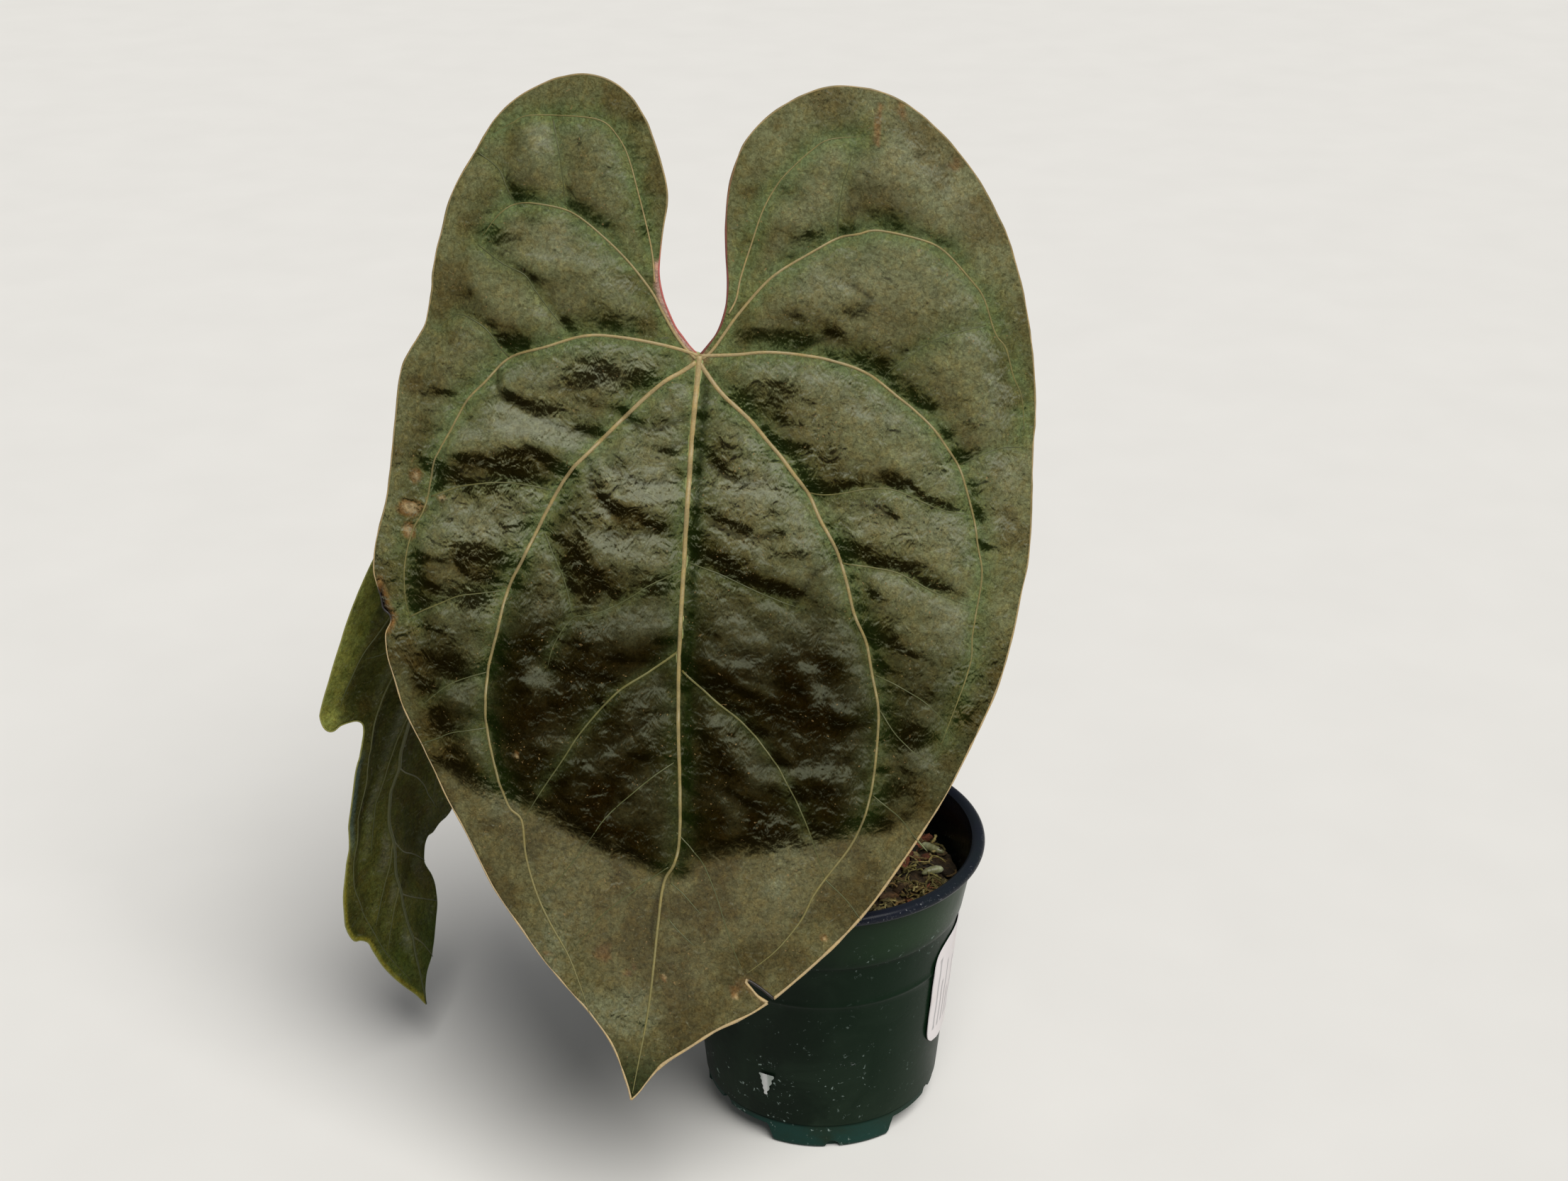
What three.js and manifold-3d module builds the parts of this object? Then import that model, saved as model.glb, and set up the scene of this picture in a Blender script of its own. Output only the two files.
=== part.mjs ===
// A potted anthurium: a nursery pot filled with chunky potting mix, and a short stem
// that carries one large heart-shaped leaf and one smaller, older leaf hanging edge-on.
// Millimetres, +Z up. The pot stands on z = 0 with its axis on the Z axis; the large
// leaf faces -Y. Every piece is one closed body, held off its neighbours by GAP.
import * as THREE from "three";
import { mergeVertices } from "three/addons/utils/BufferGeometryUtils.js";
import Module from "manifold-3d";

const wasm = await Module();
wasm.setup();

// ---- driving sizes ---------------------------------------------------------------
const GAP = 0.3; // left between neighbouring pieces
const ROUND = 48; // facets round the pot

// Pot
const POT_HEIGHT = 102;
const RIM_RADIUS = 54; // outside of the rolled lip
const LIP_WIDTH = 4.2;
const LIP_HEIGHT = 3.6;
const WALL = 1.3;
const FOOT_RADIUS = 39.2;
const FOOT_HEIGHT = 10; // smooth band round the bottom
const BODY_BASE_RADIUS = 40.2; // just above that band
const STEP_DROP = 24; // from the top of the pot down to the step in the wall
const STEP_WIDTH = 1.2;
const BODY_TOP_RADIUS = RIM_RADIUS - 7.7; // just below the step
const RING_DROP = 16; // from the step down to a faint moulded ring
const RAISE = 6.5; // height of the openings between the feet
const FOOT_COUNT = 3;
const FOOT_TURN = 6; // degrees from -Y to the middle of the front foot
const GAP_HALF_ANGLE = 28; // degrees, half of one opening between feet
const POCKET_DEPTH = 10; // how far each opening reaches in under the floor
const NOTCH_RADIUS = 2.4;

// Labels on the pot
const LABEL_WIDTH = 54;
const LABEL_HEIGHT = 42;
const LABEL_THICKNESS = 0.3;
const LABEL_CORNER = 9;
const LABEL_TURN = 90; // degrees round from -Y towards +X
const LABEL_DROP = 51; // from the top of the pot to the middle of the label

// Mix and stem
const MIX_DROP = 20; // from the top of the pot down to the mix
const STEM_RADIUS = 8;
const STEM_DEPTH = 38; // buried length
const STEM_RISE = 15; // length above the mix

// Large leaf
const BLADE_LENGTH = 306; // lobe tops to tip, measured along the blade
const BLADE_RISE = 170; // from the top of the pot up to the notch of the heart
const BLADE_OFFSET = -38; // sideways from the pot's axis
const BLADE_CLEARANCE = 12; // blade in front of the rim
const BLADE_THICKNESS = 0.9;
const QUILT = 2; // how far the blade swells between its main veins
const QUILT_REACH = 9;

// Small folded leaf
const FOLDED_LENGTH = 194; // lobe tops to tip
const FOLDED_TIP_HEIGHT = 22; // above the table
const FOLDED_OFFSET = -128; // notch of the heart, sideways from the pot's axis
const FOLDED_DEPTH = 14; // notch of the heart, behind the pot's axis
const FOLDED_THICKNESS = 0.8;

// Leaf stalks
const PETIOLE_RADIUS = 2.6;
const FOLDED_PETIOLE_RADIUS = 2.1;
const KNEE_RADIUS = 3.4; // swollen joint where the stalk meets the blade
const KNEE_LENGTH = 15;

// ---- colours ---------------------------------------------------------------------
const POT_GREEN = "#12291f";
const PAPER_WHITE = "#e9e9e6";
const MIX_BROWN = "#4b4128";
const BARK_RED = "#6f452c";
const MOSS_OLIVE = "#77703d";
const ROOT_PALE = "#a9a37c";
const STEM_GREEN = "#51592f";
const PETIOLE_GREEN = "#4f5f34";
const KNEE_GREEN = "#74703e";
const BLADE_GREEN = "#2c3523";
const FOLDED_GREEN = "#33441f";

// ---- shared helpers --------------------------------------------------------------
const rad = THREE.MathUtils.degToRad;
const lerp = THREE.MathUtils.lerp;
const group = new THREE.Group();
group.name = "potted_anthurium";

function add(name, geometry, color, roughness) {
  const material = new THREE.MeshStandardMaterial({ color, roughness, metalness: 0 });
  material.side = THREE.FrontSide;
  const mesh = new THREE.Mesh(geometry, material);
  mesh.name = name;
  group.add(mesh);
  return mesh;
}

function toSolid(geometry) {
  const bare = geometry.clone();
  bare.deleteAttribute("normal");
  bare.deleteAttribute("uv");
  const merged = mergeVertices(bare, 1e-4);
  return new wasm.Manifold(
    new wasm.Mesh({
      numProp: 3,
      vertProperties: new Float32Array(merged.attributes.position.array),
      triVerts: new Uint32Array(merged.index.array),
    }),
  );
}

function toGeometry(solid) {
  const mesh = solid.getMesh();
  const geometry = new THREE.BufferGeometry();
  geometry.setAttribute("position", new THREE.BufferAttribute(mesh.vertProperties, 3));
  geometry.setIndex(new THREE.BufferAttribute(mesh.triVerts, 1));
  geometry.computeVertexNormals();
  return geometry;
}

// Revolves [radius, height] points about the Z axis.
function revolve(points, facets = ROUND) {
  const profile = points.map(([r, z]) => new THREE.Vector2(r, z));
  return new THREE.LatheGeometry(profile, facets).rotateX(Math.PI / 2);
}

// A point on a circle, the angle in degrees from -Y towards +X.
function around(radius, degrees, z) {
  const a = rad(degrees);
  return new THREE.Vector3(radius * Math.sin(a), -radius * Math.cos(a), z);
}

// Piecewise-linear value at x in a list of [x, value] pairs sorted by x.
function along(pairs, x) {
  const last = pairs.length - 1;
  if (x <= pairs[0][0]) return pairs[0][1];
  if (x >= pairs[last][0]) return pairs[last][1];
  const i = pairs.findIndex(([px]) => px > x);
  const [x0, y0] = pairs[i - 1];
  const [x1, y1] = pairs[i];
  return lerp(y0, y1, (x - x0) / (x1 - x0));
}

// A closed sheet from flat points and triangles: place(u, v, side) gives the point on the
// front (side +1) or on the back (side -1), and open edges are joined between the two.
function thicken(flat, triangles, place) {
  const count = flat.length;
  const positions = [];
  for (const side of [1, -1]) {
    for (const [u, v] of flat) positions.push(...place(u, v, side).toArray());
  }
  const index = [];
  const edges = new Set();
  for (const [a, b, c] of triangles) {
    index.push(a, b, c);
    index.push(a + count, c + count, b + count);
    edges.add(a + "," + b);
    edges.add(b + "," + c);
    edges.add(c + "," + a);
  }
  for (const edge of edges) {
    const [a, b] = edge.split(",").map(Number);
    if (edges.has(b + "," + a)) continue;
    index.push(b, a, a + count);
    index.push(b, a + count, b + count);
  }
  const geometry = new THREE.BufferGeometry();
  geometry.setAttribute("position", new THREE.Float32BufferAttribute(positions, 3));
  geometry.setIndex(index);
  geometry.computeVertexNormals();
  return geometry;
}

// Flat points and triangles between two edges, both given as across = f(v).
// Rows that have no width become a single point.
function weave(rows, columns, leftEdge, rightEdge) {
  const flat = [];
  const grid = rows.map((v) => {
    const left = leftEdge(v);
    const right = rightEdge(v);
    if (right - left < 0.05) {
      flat.push([(left + right) / 2, v]);
      return new Array(columns + 1).fill(flat.length - 1);
    }
    const row = [];
    for (let i = 0; i <= columns; i += 1) {
      flat.push([lerp(left, right, i / columns), v]);
      row.push(flat.length - 1);
    }
    return row;
  });
  const triangles = [];
  for (let j = 0; j + 1 < grid.length; j += 1) {
    for (let i = 0; i < columns; i += 1) {
      const [a, b] = [grid[j][i], grid[j][i + 1]];
      const [c, d] = [grid[j + 1][i], grid[j + 1][i + 1]];
      if (a !== b) triangles.push([a, b, d]);
      if (c !== d) triangles.push([a, d, c]);
    }
  }
  return { flat, triangles };
}

// A round bar along a smooth path.
function bar(points, radius, sides, steps) {
  const path = new THREE.CatmullRomCurve3(points);
  const shape = new THREE.Shape();
  for (let i = 0; i < sides; i += 1) {
    const a = (2 * Math.PI * i) / sides;
    const x = radius * Math.cos(a);
    const y = radius * Math.sin(a);
    if (i === 0) shape.moveTo(x, y);
    else shape.lineTo(x, y);
  }
  shape.closePath();
  return new THREE.ExtrudeGeometry(shape, { steps, extrudePath: path });
}

// ---- pot -------------------------------------------------------------------------
const stepZ = POT_HEIGHT - STEP_DROP;
const ringZ = stepZ - RING_DROP;
const lipZ = POT_HEIGHT - LIP_HEIGHT;
const bandTopRadius = RIM_RADIUS - 3;
const bodyRadius = (z) =>
  along(
    [
      [FOOT_HEIGHT, BODY_BASE_RADIUS],
      [stepZ, BODY_TOP_RADIUS],
    ],
    z,
  );

const outside = revolve([
  [0, 0],
  [FOOT_RADIUS - 1.2, 0],
  [FOOT_RADIUS, 1],
  [FOOT_RADIUS + 0.4, FOOT_HEIGHT - 0.8],
  [BODY_BASE_RADIUS, FOOT_HEIGHT],
  [bodyRadius(ringZ) - 0.05, ringZ - 0.8],
  [bodyRadius(ringZ) + 0.35, ringZ],
  [bodyRadius(ringZ) + 0.05, ringZ + 0.8],
  [BODY_TOP_RADIUS, stepZ],
  [BODY_TOP_RADIUS + STEP_WIDTH, stepZ + 0.6],
  [bandTopRadius, lipZ],
  [RIM_RADIUS - 0.7, lipZ + 0.1],
  [RIM_RADIUS, lipZ + 0.9],
  [RIM_RADIUS - 0.1, POT_HEIGHT - 1.3],
  [RIM_RADIUS - 1.1, POT_HEIGHT - 0.3],
  [RIM_RADIUS - 2.2, POT_HEIGHT],
  [0, POT_HEIGHT],
]);

// Radius of the inside of the pot at a height.
const insideRadius = (z) =>
  along(
    [
      [WALL, FOOT_RADIUS - WALL],
      [FOOT_HEIGHT, BODY_BASE_RADIUS - WALL],
      [stepZ, BODY_TOP_RADIUS - WALL],
      [stepZ + 0.6, BODY_TOP_RADIUS + STEP_WIDTH - WALL],
      [lipZ, bandTopRadius - WALL],
      [POT_HEIGHT - 1, RIM_RADIUS - LIP_WIDTH],
    ],
    z,
  );

const insideHeights = [WALL, FOOT_HEIGHT, stepZ, stepZ + 0.6, lipZ, POT_HEIGHT - 1];
const inside = revolve([
  [0, WALL],
  ...insideHeights.map((z) => [insideRadius(z), z]),
  [RIM_RADIUS - LIP_WIDTH + 1.1, POT_HEIGHT + 0.1],
  [0, POT_HEIGHT + 0.1],
]);

// Wedge of a ring centred on an angle, from z0 to z1.
function wedge(inner, outer, middle, halfAngle, z0, z1) {
  const shape = new THREE.Shape();
  const steps = 8;
  for (let i = 0; i <= steps; i += 1) {
    const p = around(outer, middle - halfAngle + (2 * halfAngle * i) / steps, 0);
    if (i === 0) shape.moveTo(p.x, p.y);
    else shape.lineTo(p.x, p.y);
  }
  for (let i = steps; i >= 0; i -= 1) {
    const p = around(inner, middle - halfAngle + (2 * halfAngle * i) / steps, 0);
    shape.lineTo(p.x, p.y);
  }
  shape.closePath();
  const options = { depth: z1 - z0, bevelEnabled: false };
  return toSolid(new THREE.ExtrudeGeometry(shape, options).translate(0, 0, z0));
}

let potOutside = toSolid(outside);
let potInside = toSolid(inside);
const footStep = 360 / FOOT_COUNT;
const pocketInner = FOOT_RADIUS - POCKET_DEPTH;
for (let i = 0; i < FOOT_COUNT; i += 1) {
  const middle = FOOT_TURN + footStep * (i + 0.5);
  const outer = RIM_RADIUS;
  potOutside = potOutside.subtract(
    wedge(pocketInner, outer, middle, GAP_HALF_ANGLE, -1, RAISE),
  );
  potInside = potInside.subtract(
    wedge(pocketInner - WALL, outer, middle, GAP_HALF_ANGLE + 2, -1, RAISE + WALL),
  );
}
let pot = potOutside.subtract(potInside);
for (let i = 0; i < 2 * FOOT_COUNT; i += 1) {
  const onFoot = i % 2 === 0;
  const notch = new THREE.CylinderGeometry(NOTCH_RADIUS, NOTCH_RADIUS, 5 * WALL, 14);
  const turn = FOOT_TURN + (footStep / 2) * i;
  const spot = around(FOOT_RADIUS - WALL / 2, turn, onFoot ? 0 : RAISE);
  notch.rotateZ(rad(turn)).translate(spot.x, spot.y, spot.z);
  pot = pot.subtract(toSolid(notch));
}
add("pot", toGeometry(pot), POT_GREEN, 0.38);

// ---- labels ----------------------------------------------------------------------
// Puts a flat sticker on the pot's body: x runs round the wall, y up it.
function onBody(turn, middleZ) {
  return (x, y, side) => {
    const z = middleZ + y;
    const wall = bodyRadius(z) / Math.cos(Math.PI / ROUND) + 0.4;
    const lift = GAP + (side > 0 ? LABEL_THICKNESS : 0);
    return around(wall + lift, turn + (x / bodyRadius(middleZ)) * (180 / Math.PI), z);
  };
}

const labelHalf = (y) => {
  const over = Math.max(0, Math.abs(y) - (LABEL_HEIGHT / 2 - LABEL_CORNER));
  const cut = LABEL_CORNER - Math.sqrt(Math.max(0, LABEL_CORNER ** 2 - over ** 2));
  return LABEL_WIDTH / 2 - cut;
};
const labelRows = [-1, -0.95, -0.85, -0.7, -0.57, 0, 0.57, 0.7, 0.85, 0.95, 1].map(
  (v) => (v * LABEL_HEIGHT) / 2,
);
const label = weave(labelRows, 12, (y) => -labelHalf(y), labelHalf);
add(
  "pot_label",
  thicken(label.flat, label.triangles, onBody(LABEL_TURN, POT_HEIGHT - LABEL_DROP)),
  PAPER_WHITE,
  0.6,
);

const scrapRows = [-5, -2, 1, 4];
const scrap = weave(scrapRows, 2, (y) => (y + 5) * -0.16 - 0.4, (y) => (y + 5) * 0.34 + 0.3);
add(
  "label_scrap",
  thicken(scrap.flat, scrap.triangles, onBody(-26, 26)),
  PAPER_WHITE,
  0.7,
);

// ---- potting mix -----------------------------------------------------------------
const mixZ = POT_HEIGHT - MIX_DROP;
const mixFloor = RAISE + WALL + GAP;
const mixRadius = insideRadius(mixZ) - 2 * GAP;

// Height of the lumpy top of the mix.
function mixTop(x, y) {
  const r = Math.hypot(x, y) / mixRadius;
  const mound = 3 * (1 - r * r);
  const lumps = 0.9 * Math.sin(x / 5.1 + 1) * Math.cos(y / 6.3) + 0.6 * Math.sin((x - y) / 4);
  return mixZ + mound + lumps * Math.min(1, 2.2 * (1 - r) + 0.25);
}

function buildMix() {
  const rings = 7;
  const positions = [0, 0, mixTop(0, 0)];
  for (let j = 1; j <= rings; j += 1) {
    for (let i = 0; i < ROUND; i += 1) {
      const p = around((mixRadius * j) / rings, (360 * i) / ROUND, 0);
      positions.push(p.x, p.y, mixTop(p.x, p.y));
    }
  }
  for (const z of [stepZ - 0.6, FOOT_HEIGHT, mixFloor]) {
    for (let i = 0; i < ROUND; i += 1) {
      const p = around(insideRadius(z) - 2 * GAP, (360 * i) / ROUND, z);
      positions.push(p.x, p.y, p.z);
    }
  }
  positions.push(0, 0, mixFloor);
  const last = positions.length / 3 - 1;
  const index = [];
  for (let i = 0; i < ROUND; i += 1) {
    const next = (i + 1) % ROUND;
    index.push(0, 1 + i, 1 + next);
    for (let j = 0; j < rings + 2; j += 1) {
      const a = 1 + j * ROUND;
      index.push(a + i, a + ROUND + i, a + ROUND + next);
      index.push(a + i, a + ROUND + next, a + next);
    }
    const floor = 1 + (rings + 2) * ROUND;
    index.push(floor + next, floor + i, last);
  }
  const geometry = new THREE.BufferGeometry();
  geometry.setAttribute("position", new THREE.Float32BufferAttribute(positions, 3));
  geometry.setIndex(index);
  return geometry;
}

const stemBase = mixZ - STEM_DEPTH;
const stemTop = mixTop(0, 0) + STEM_RISE;
const stemHole = new THREE.CylinderGeometry(
  STEM_RADIUS + 1.2 + GAP,
  STEM_RADIUS + 1.2 + GAP,
  200,
  24,
);
stemHole.rotateX(Math.PI / 2).translate(0, 0, stemBase - GAP + 100);
const mix = toSolid(buildMix()).subtract(toSolid(stemHole));
add("potting_mix", toGeometry(mix), MIX_BROWN, 0.95);

// ---- stem ------------------------------------------------------------------------
const stemProfile = [
  [0, stemBase],
  [STEM_RADIUS * 0.8, stemBase],
  [STEM_RADIUS, stemBase + 3],
  [STEM_RADIUS, mixZ],
];
for (let z = mixZ + 4; z < stemTop - 5; z += 6) {
  stemProfile.push([STEM_RADIUS - 0.4, z]);
  stemProfile.push([STEM_RADIUS + 0.8, z + 1.5]);
  stemProfile.push([STEM_RADIUS - 0.4, z + 3]);
}
stemProfile.push([STEM_RADIUS * 0.8, stemTop - 1.2]);
stemProfile.push([STEM_RADIUS * 0.5, stemTop]);
stemProfile.push([0, stemTop]);
add("stem", revolve(stemProfile, 20), STEM_GREEN, 0.7);

// ---- things lying on the mix -------------------------------------------------------
// Their places and sizes are given for a mix 46.2 in radius and follow the mix's own size.
const fit = mixRadius / 46.2;

// Height at which a piece of the given reach clears the mix below it.
function restHeight(x, y, reach) {
  let top = 0;
  for (let i = -3; i <= 3; i += 1) {
    for (let j = -3; j <= 3; j += 1) {
      const z = mixTop(x + (reach * i) / 3, y + (reach * j) / 3);
      top = Math.max(top, z);
    }
  }
  return top + GAP;
}

// Irregular slab of bark: [distance out, degrees round, length, width, thickness, turn].
const barkChips = [
  [36, 137, 13, 8, 3.2, 20],
  [26, 100, 11, 7, 2.6, 75],
  [24, 200, 15, 9, 3.4, 130],
  [35, 262, 12, 8, 3, 10],
  [27, 318, 14, 7, 2.8, 60],
  [37, 20, 10, 8, 3, 100],
];
barkChips.forEach(([out, degrees, length, width, thick, turn], i) => {
  const slab = new THREE.BoxGeometry(length, width, thick, 2, 1, 1);
  const p = slab.attributes.position;
  for (let k = 0; k < p.count; k += 1) {
    const end = p.getX(k) / (length / 2);
    const edge = p.getY(k) / (width / 2);
    const up = p.getZ(k) > 0 ? 1 : 0;
    p.setX(k, p.getX(k) - up * end * 0.9 + 0.8 * edge);
    p.setY(k, p.getY(k) * (1 - 0.22 * end * end - 0.12 * up));
    p.setZ(k, p.getZ(k) + up * 0.5 * end);
  }
  slab.rotateZ(rad(turn)).scale(fit, fit, fit);
  const spot = around(out * fit, degrees, 0);
  const z = restHeight(spot.x, spot.y, (length * fit) / 2) + (thick * fit) / 2;
  slab.translate(spot.x, spot.y, z);
  slab.computeVertexNormals();
  add("bark_chip_" + (i + 1), slab, BARK_RED, 0.9);
});

// Tuft of moss: [distance out, degrees round, half length, half width, height, turn].
const mossTufts = [
  [37, 66, 7, 5, 4.5, 30],
  [20, 75, 6, 4.5, 5, 100],
  [36, 168, 7, 5, 4, 70],
  [22, 255, 7, 5, 5, 15],
  [38, 292, 6, 4.5, 4.5, 50],
  [22, 20, 6, 4.5, 4, 140],
];
mossTufts.forEach(([out, degrees, length, width, height, turn], i) => {
  const tuft = mergeVertices(new THREE.IcosahedronGeometry(1, 2).deleteAttribute("uv"), 1e-4);
  const p = tuft.attributes.position;
  for (let k = 0; k < p.count; k += 1) {
    const [x, y, z] = [p.getX(k), p.getY(k), p.getZ(k)];
    const lump = 1 + 0.12 * Math.sin(7 * x + 2 * i) * Math.cos(6 * y + i);
    p.setXYZ(k, x * length * lump, y * width * lump, z * (height / 2) * lump);
  }
  tuft.rotateZ(rad(turn)).scale(fit, fit, fit);
  const spot = around(out * fit, degrees, 0);
  const rest = restHeight(spot.x, spot.y, length * fit * 0.8);
  tuft.translate(spot.x, spot.y, rest + height * fit * 0.55);
  tuft.computeVertexNormals();
  add("moss_clump_" + (i + 1), tuft, MOSS_OLIVE, 1);
});

// Fat pale root tips: [distance out, degrees round, turn, length].
const rootTips = [
  [41, 113, 150, 9],
  [32, 116, 60, 9],
  [37, 88, 20, 8],
];
rootTips.forEach(([out, degrees, turn, length], i) => {
  const radius = 1.5;
  const root = new THREE.CapsuleGeometry(radius, length - 2 * radius, 4, 10);
  root.rotateZ(rad(turn)).scale(fit, fit, fit);
  const spot = around(out * fit, degrees, 0);
  const rest = restHeight(spot.x, spot.y, (length * fit) / 2);
  root.translate(spot.x, spot.y, rest + radius * fit);
  add("root_tip_" + (i + 1), root, ROOT_PALE, 0.6);
});

// ---- leaf edges --------------------------------------------------------------------
// A leaf is drawn flat: s runs across it and t down its midrib from the notch of the heart
// to the tip. Each edge runs from the top of one lobe to the tip.
function edgeOf(points) {
  const curve = new THREE.SplineCurve(points.map(([s, t]) => new THREE.Vector2(s, t)));
  const fine = curve.getPoints(points.length * 8).map((p) => [p.y, p.x]);
  const pairs = [fine[0]];
  for (const pair of fine) {
    if (pair[0] > pairs[pairs.length - 1][0]) pairs.push(pair);
  }
  return (t) => along(pairs, t);
}

// Both halves of a leaf as one flat net; the halves share the midrib below the notch.
function leafNet(leaf, rows, columns) {
  const top = rows[0];
  const rib = edgeOf(leaf.midrib);
  const innerEdge = (points) => {
    const notch = edgeOf(points);
    return (t) => (t < leaf.midrib[0][1] ? notch(t) : rib(t));
  };
  const halves = [
    weave(rows, columns, edgeOf(leaf.left), innerEdge(leaf.leftInner)),
    weave(rows, columns, innerEdge(leaf.rightInner), edgeOf(leaf.right)),
  ];
  const flat = [];
  const triangles = [];
  const seen = new Map();
  for (const half of halves) {
    const renamed = half.flat.map(([s, t]) => {
      const key = s.toFixed(3) + "/" + t.toFixed(3);
      if (t > top && seen.has(key)) return seen.get(key);
      flat.push([s, t]);
      seen.set(key, flat.length - 1);
      return flat.length - 1;
    });
    for (const [a, b, c] of half.triangles) {
      triangles.push([renamed[a], renamed[c], renamed[b]]);
    }
  }
  return { flat, triangles };
}

// Rows from the lobe tops to the tip, closer together where the lobes are round.
function rowsOf(top, tip, spacing) {
  const rows = [top, top + 1.2, top + 4, top + 8.5];
  for (let t = Math.ceil((top + 14) / spacing) * spacing; t < 0; t += spacing) rows.push(t);
  rows.push(1);
  for (let t = spacing; t < tip - 3; t += spacing) rows.push(t);
  rows.push(tip);
  return rows;
}

// Distance from a flat point to a vein drawn as a line through points.
function distanceTo(vein, s, t) {
  let best = Infinity;
  for (let i = 0; i + 1 < vein.length; i += 1) {
    const [ax, ay] = vein[i];
    const [bx, by] = vein[i + 1];
    const [dx, dy] = [bx - ax, by - ay];
    const along01 = ((s - ax) * dx + (t - ay) * dy) / (dx * dx + dy * dy);
    const k = Math.min(1, Math.max(0, along01));
    best = Math.min(best, Math.hypot(s - ax - k * dx, t - ay - k * dy));
  }
  return best;
}

// ---- large leaf --------------------------------------------------------------------
const bladeTop = -80;
const bladeTip = 226;
const bladeScale = BLADE_LENGTH / (bladeTip - bladeTop);
const midrib = [
  [0, 1],
  [-1, 35],
  [-1, 98],
  [2, 148],
  [-2, 175],
  [-4, 199],
  [-7, bladeTip],
];
const blade = {
  midrib,
  left: [
    [-38, bladeTop],
    [-53, -74.5],
    [-64, -65],
    [-69.5, -55],
    [-75.3, -44.8],
    [-78.7, -32.8],
    [-81.4, -14],
    [-83.4, -2.8],
    [-87.5, 4.4],
    [-90.4, 10],
    [-91.6, 24],
    [-92.5, 40],
    [-94, 53],
    [-96.7, 70],
    [-94, 79],
    [-90.7, 86.5],
    [-91.9, 94],
    [-88.7, 105.6],
    [-77.5, 128],
    [-64.6, 150.5],
    [-53.8, 168.3],
    [-38, 187.3],
    [-22.5, 202.2],
    [-14.1, 212.4],
    [-7, bladeTip],
  ],
  leftInner: [
    [-38, bladeTop],
    [-24.7, -74.3],
    [-17, -61.7],
    [-12.7, -49.9],
    [-12.1, -42.6],
    [-13.3, -28.8],
    [-12.9, -19.5],
    [-8.1, -8],
    midrib[0],
  ],
  rightInner: [
    [42, bladeTop],
    [25, -76.5],
    [16.7, -70.2],
    [9.9, -61.8],
    [6.1, -48.5],
    [5.8, -38],
    [7.3, -20],
    [4.8, -6],
    midrib[0],
  ],
  right: [
    [42, bladeTop],
    [55.7, -76.5],
    [65, -70.4],
    [77.6, -58],
    [86.9, -44],
    [94.6, -26],
    [99.5, -5.6],
    [102, 17],
    [103, 48],
    [102.1, 63.6],
    [98, 88],
    [84, 127],
    [67.8, 156],
    [51.1, 178.2],
    [33, 195.5],
    [9, 211.4],
    [-1, 219.4],
    [-7, bladeTip],
  ],
};
const bladeVeins = [
  midrib,
  [[-1, 3], [-28, 26], [-45, 57], [-58, 99], [-56, 126], [-47, 145]],
  [[0, 3], [27, 31], [47, 61], [60, 104], [60, 138], [26, 189]],
  [[-8, -1], [-34, -3], [-57, 5], [-76, 31], [-87, 65], [-86, 87]],
  [[13, -1], [44, 1], [71, 20], [87, 52], [87, 91], [80, 115]],
  [[-16, -22], [-43, -40], [-57, -40], [-68, -31]],
  [[11, -15], [37, -35], [51, -38], [83, -21], [97, 11]],
];

// Lean of the blade out from the vertical, in degrees, at places down its midrib.
const bladeLean = [
  [-120, 14],
  [-40, 16],
  [0, 18],
  [120, 20],
  [160, 26],
  [200, 38],
  [240, 44],
];
const bladeRoll = rad(-3);
const bladeCamber = 0.0009;
// The blade comes forward by 60 mm (at full size) on its way down to the pot's rim.
const bladeHome = new THREE.Vector3(
  BLADE_OFFSET,
  60 * bladeScale - RIM_RADIUS - BLADE_CLEARANCE,
  POT_HEIGHT + BLADE_RISE * bladeScale,
);

// Forward and downward distance gone along the midrib, in steps of 1 mm.
function walk(lean, from, to) {
  const forward = [];
  const down = [];
  let f = 0;
  let d = 0;
  for (let t = from; t <= to; t += 1) {
    forward.push([t, f]);
    down.push([t, d]);
    const a = rad(along(lean, t + 0.5));
    f += Math.sin(a);
    d += Math.cos(a);
  }
  const f0 = along(forward, 0);
  const d0 = along(down, 0);
  return (t) => [along(forward, t) - f0, along(down, t) - d0];
}
const bladeWalk = walk(bladeLean, -120, 260);

// A point of the large blade: lift is measured out of its face.
function onBlade(s, t, lift) {
  const across = s * Math.cos(bladeRoll) + t * Math.sin(bladeRoll);
  const length = t * Math.cos(bladeRoll) - s * Math.sin(bladeRoll);
  const [forward, down] = bladeWalk(length);
  const a = rad(along(bladeLean, length));
  const out = lift - bladeCamber * across * across;
  return new THREE.Vector3(across, -forward - out * Math.cos(a), out * Math.sin(a) - down)
    .multiplyScalar(bladeScale)
    .add(bladeHome);
}

function bladeSwell(s, t) {
  const near = Math.min(...bladeVeins.map((vein) => distanceTo(vein, s, t)));
  return QUILT * (1 - Math.exp(-((near / QUILT_REACH) ** 2)));
}

const bladeNet = leafNet(blade, rowsOf(bladeTop, bladeTip, 9), 9);
const wholeBlade = thicken(bladeNet.flat, bladeNet.triangles, (s, t, side) =>
  onBlade(s, t, bladeSwell(s, t) + (side * BLADE_THICKNESS) / 2 / bladeScale),
);

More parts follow.
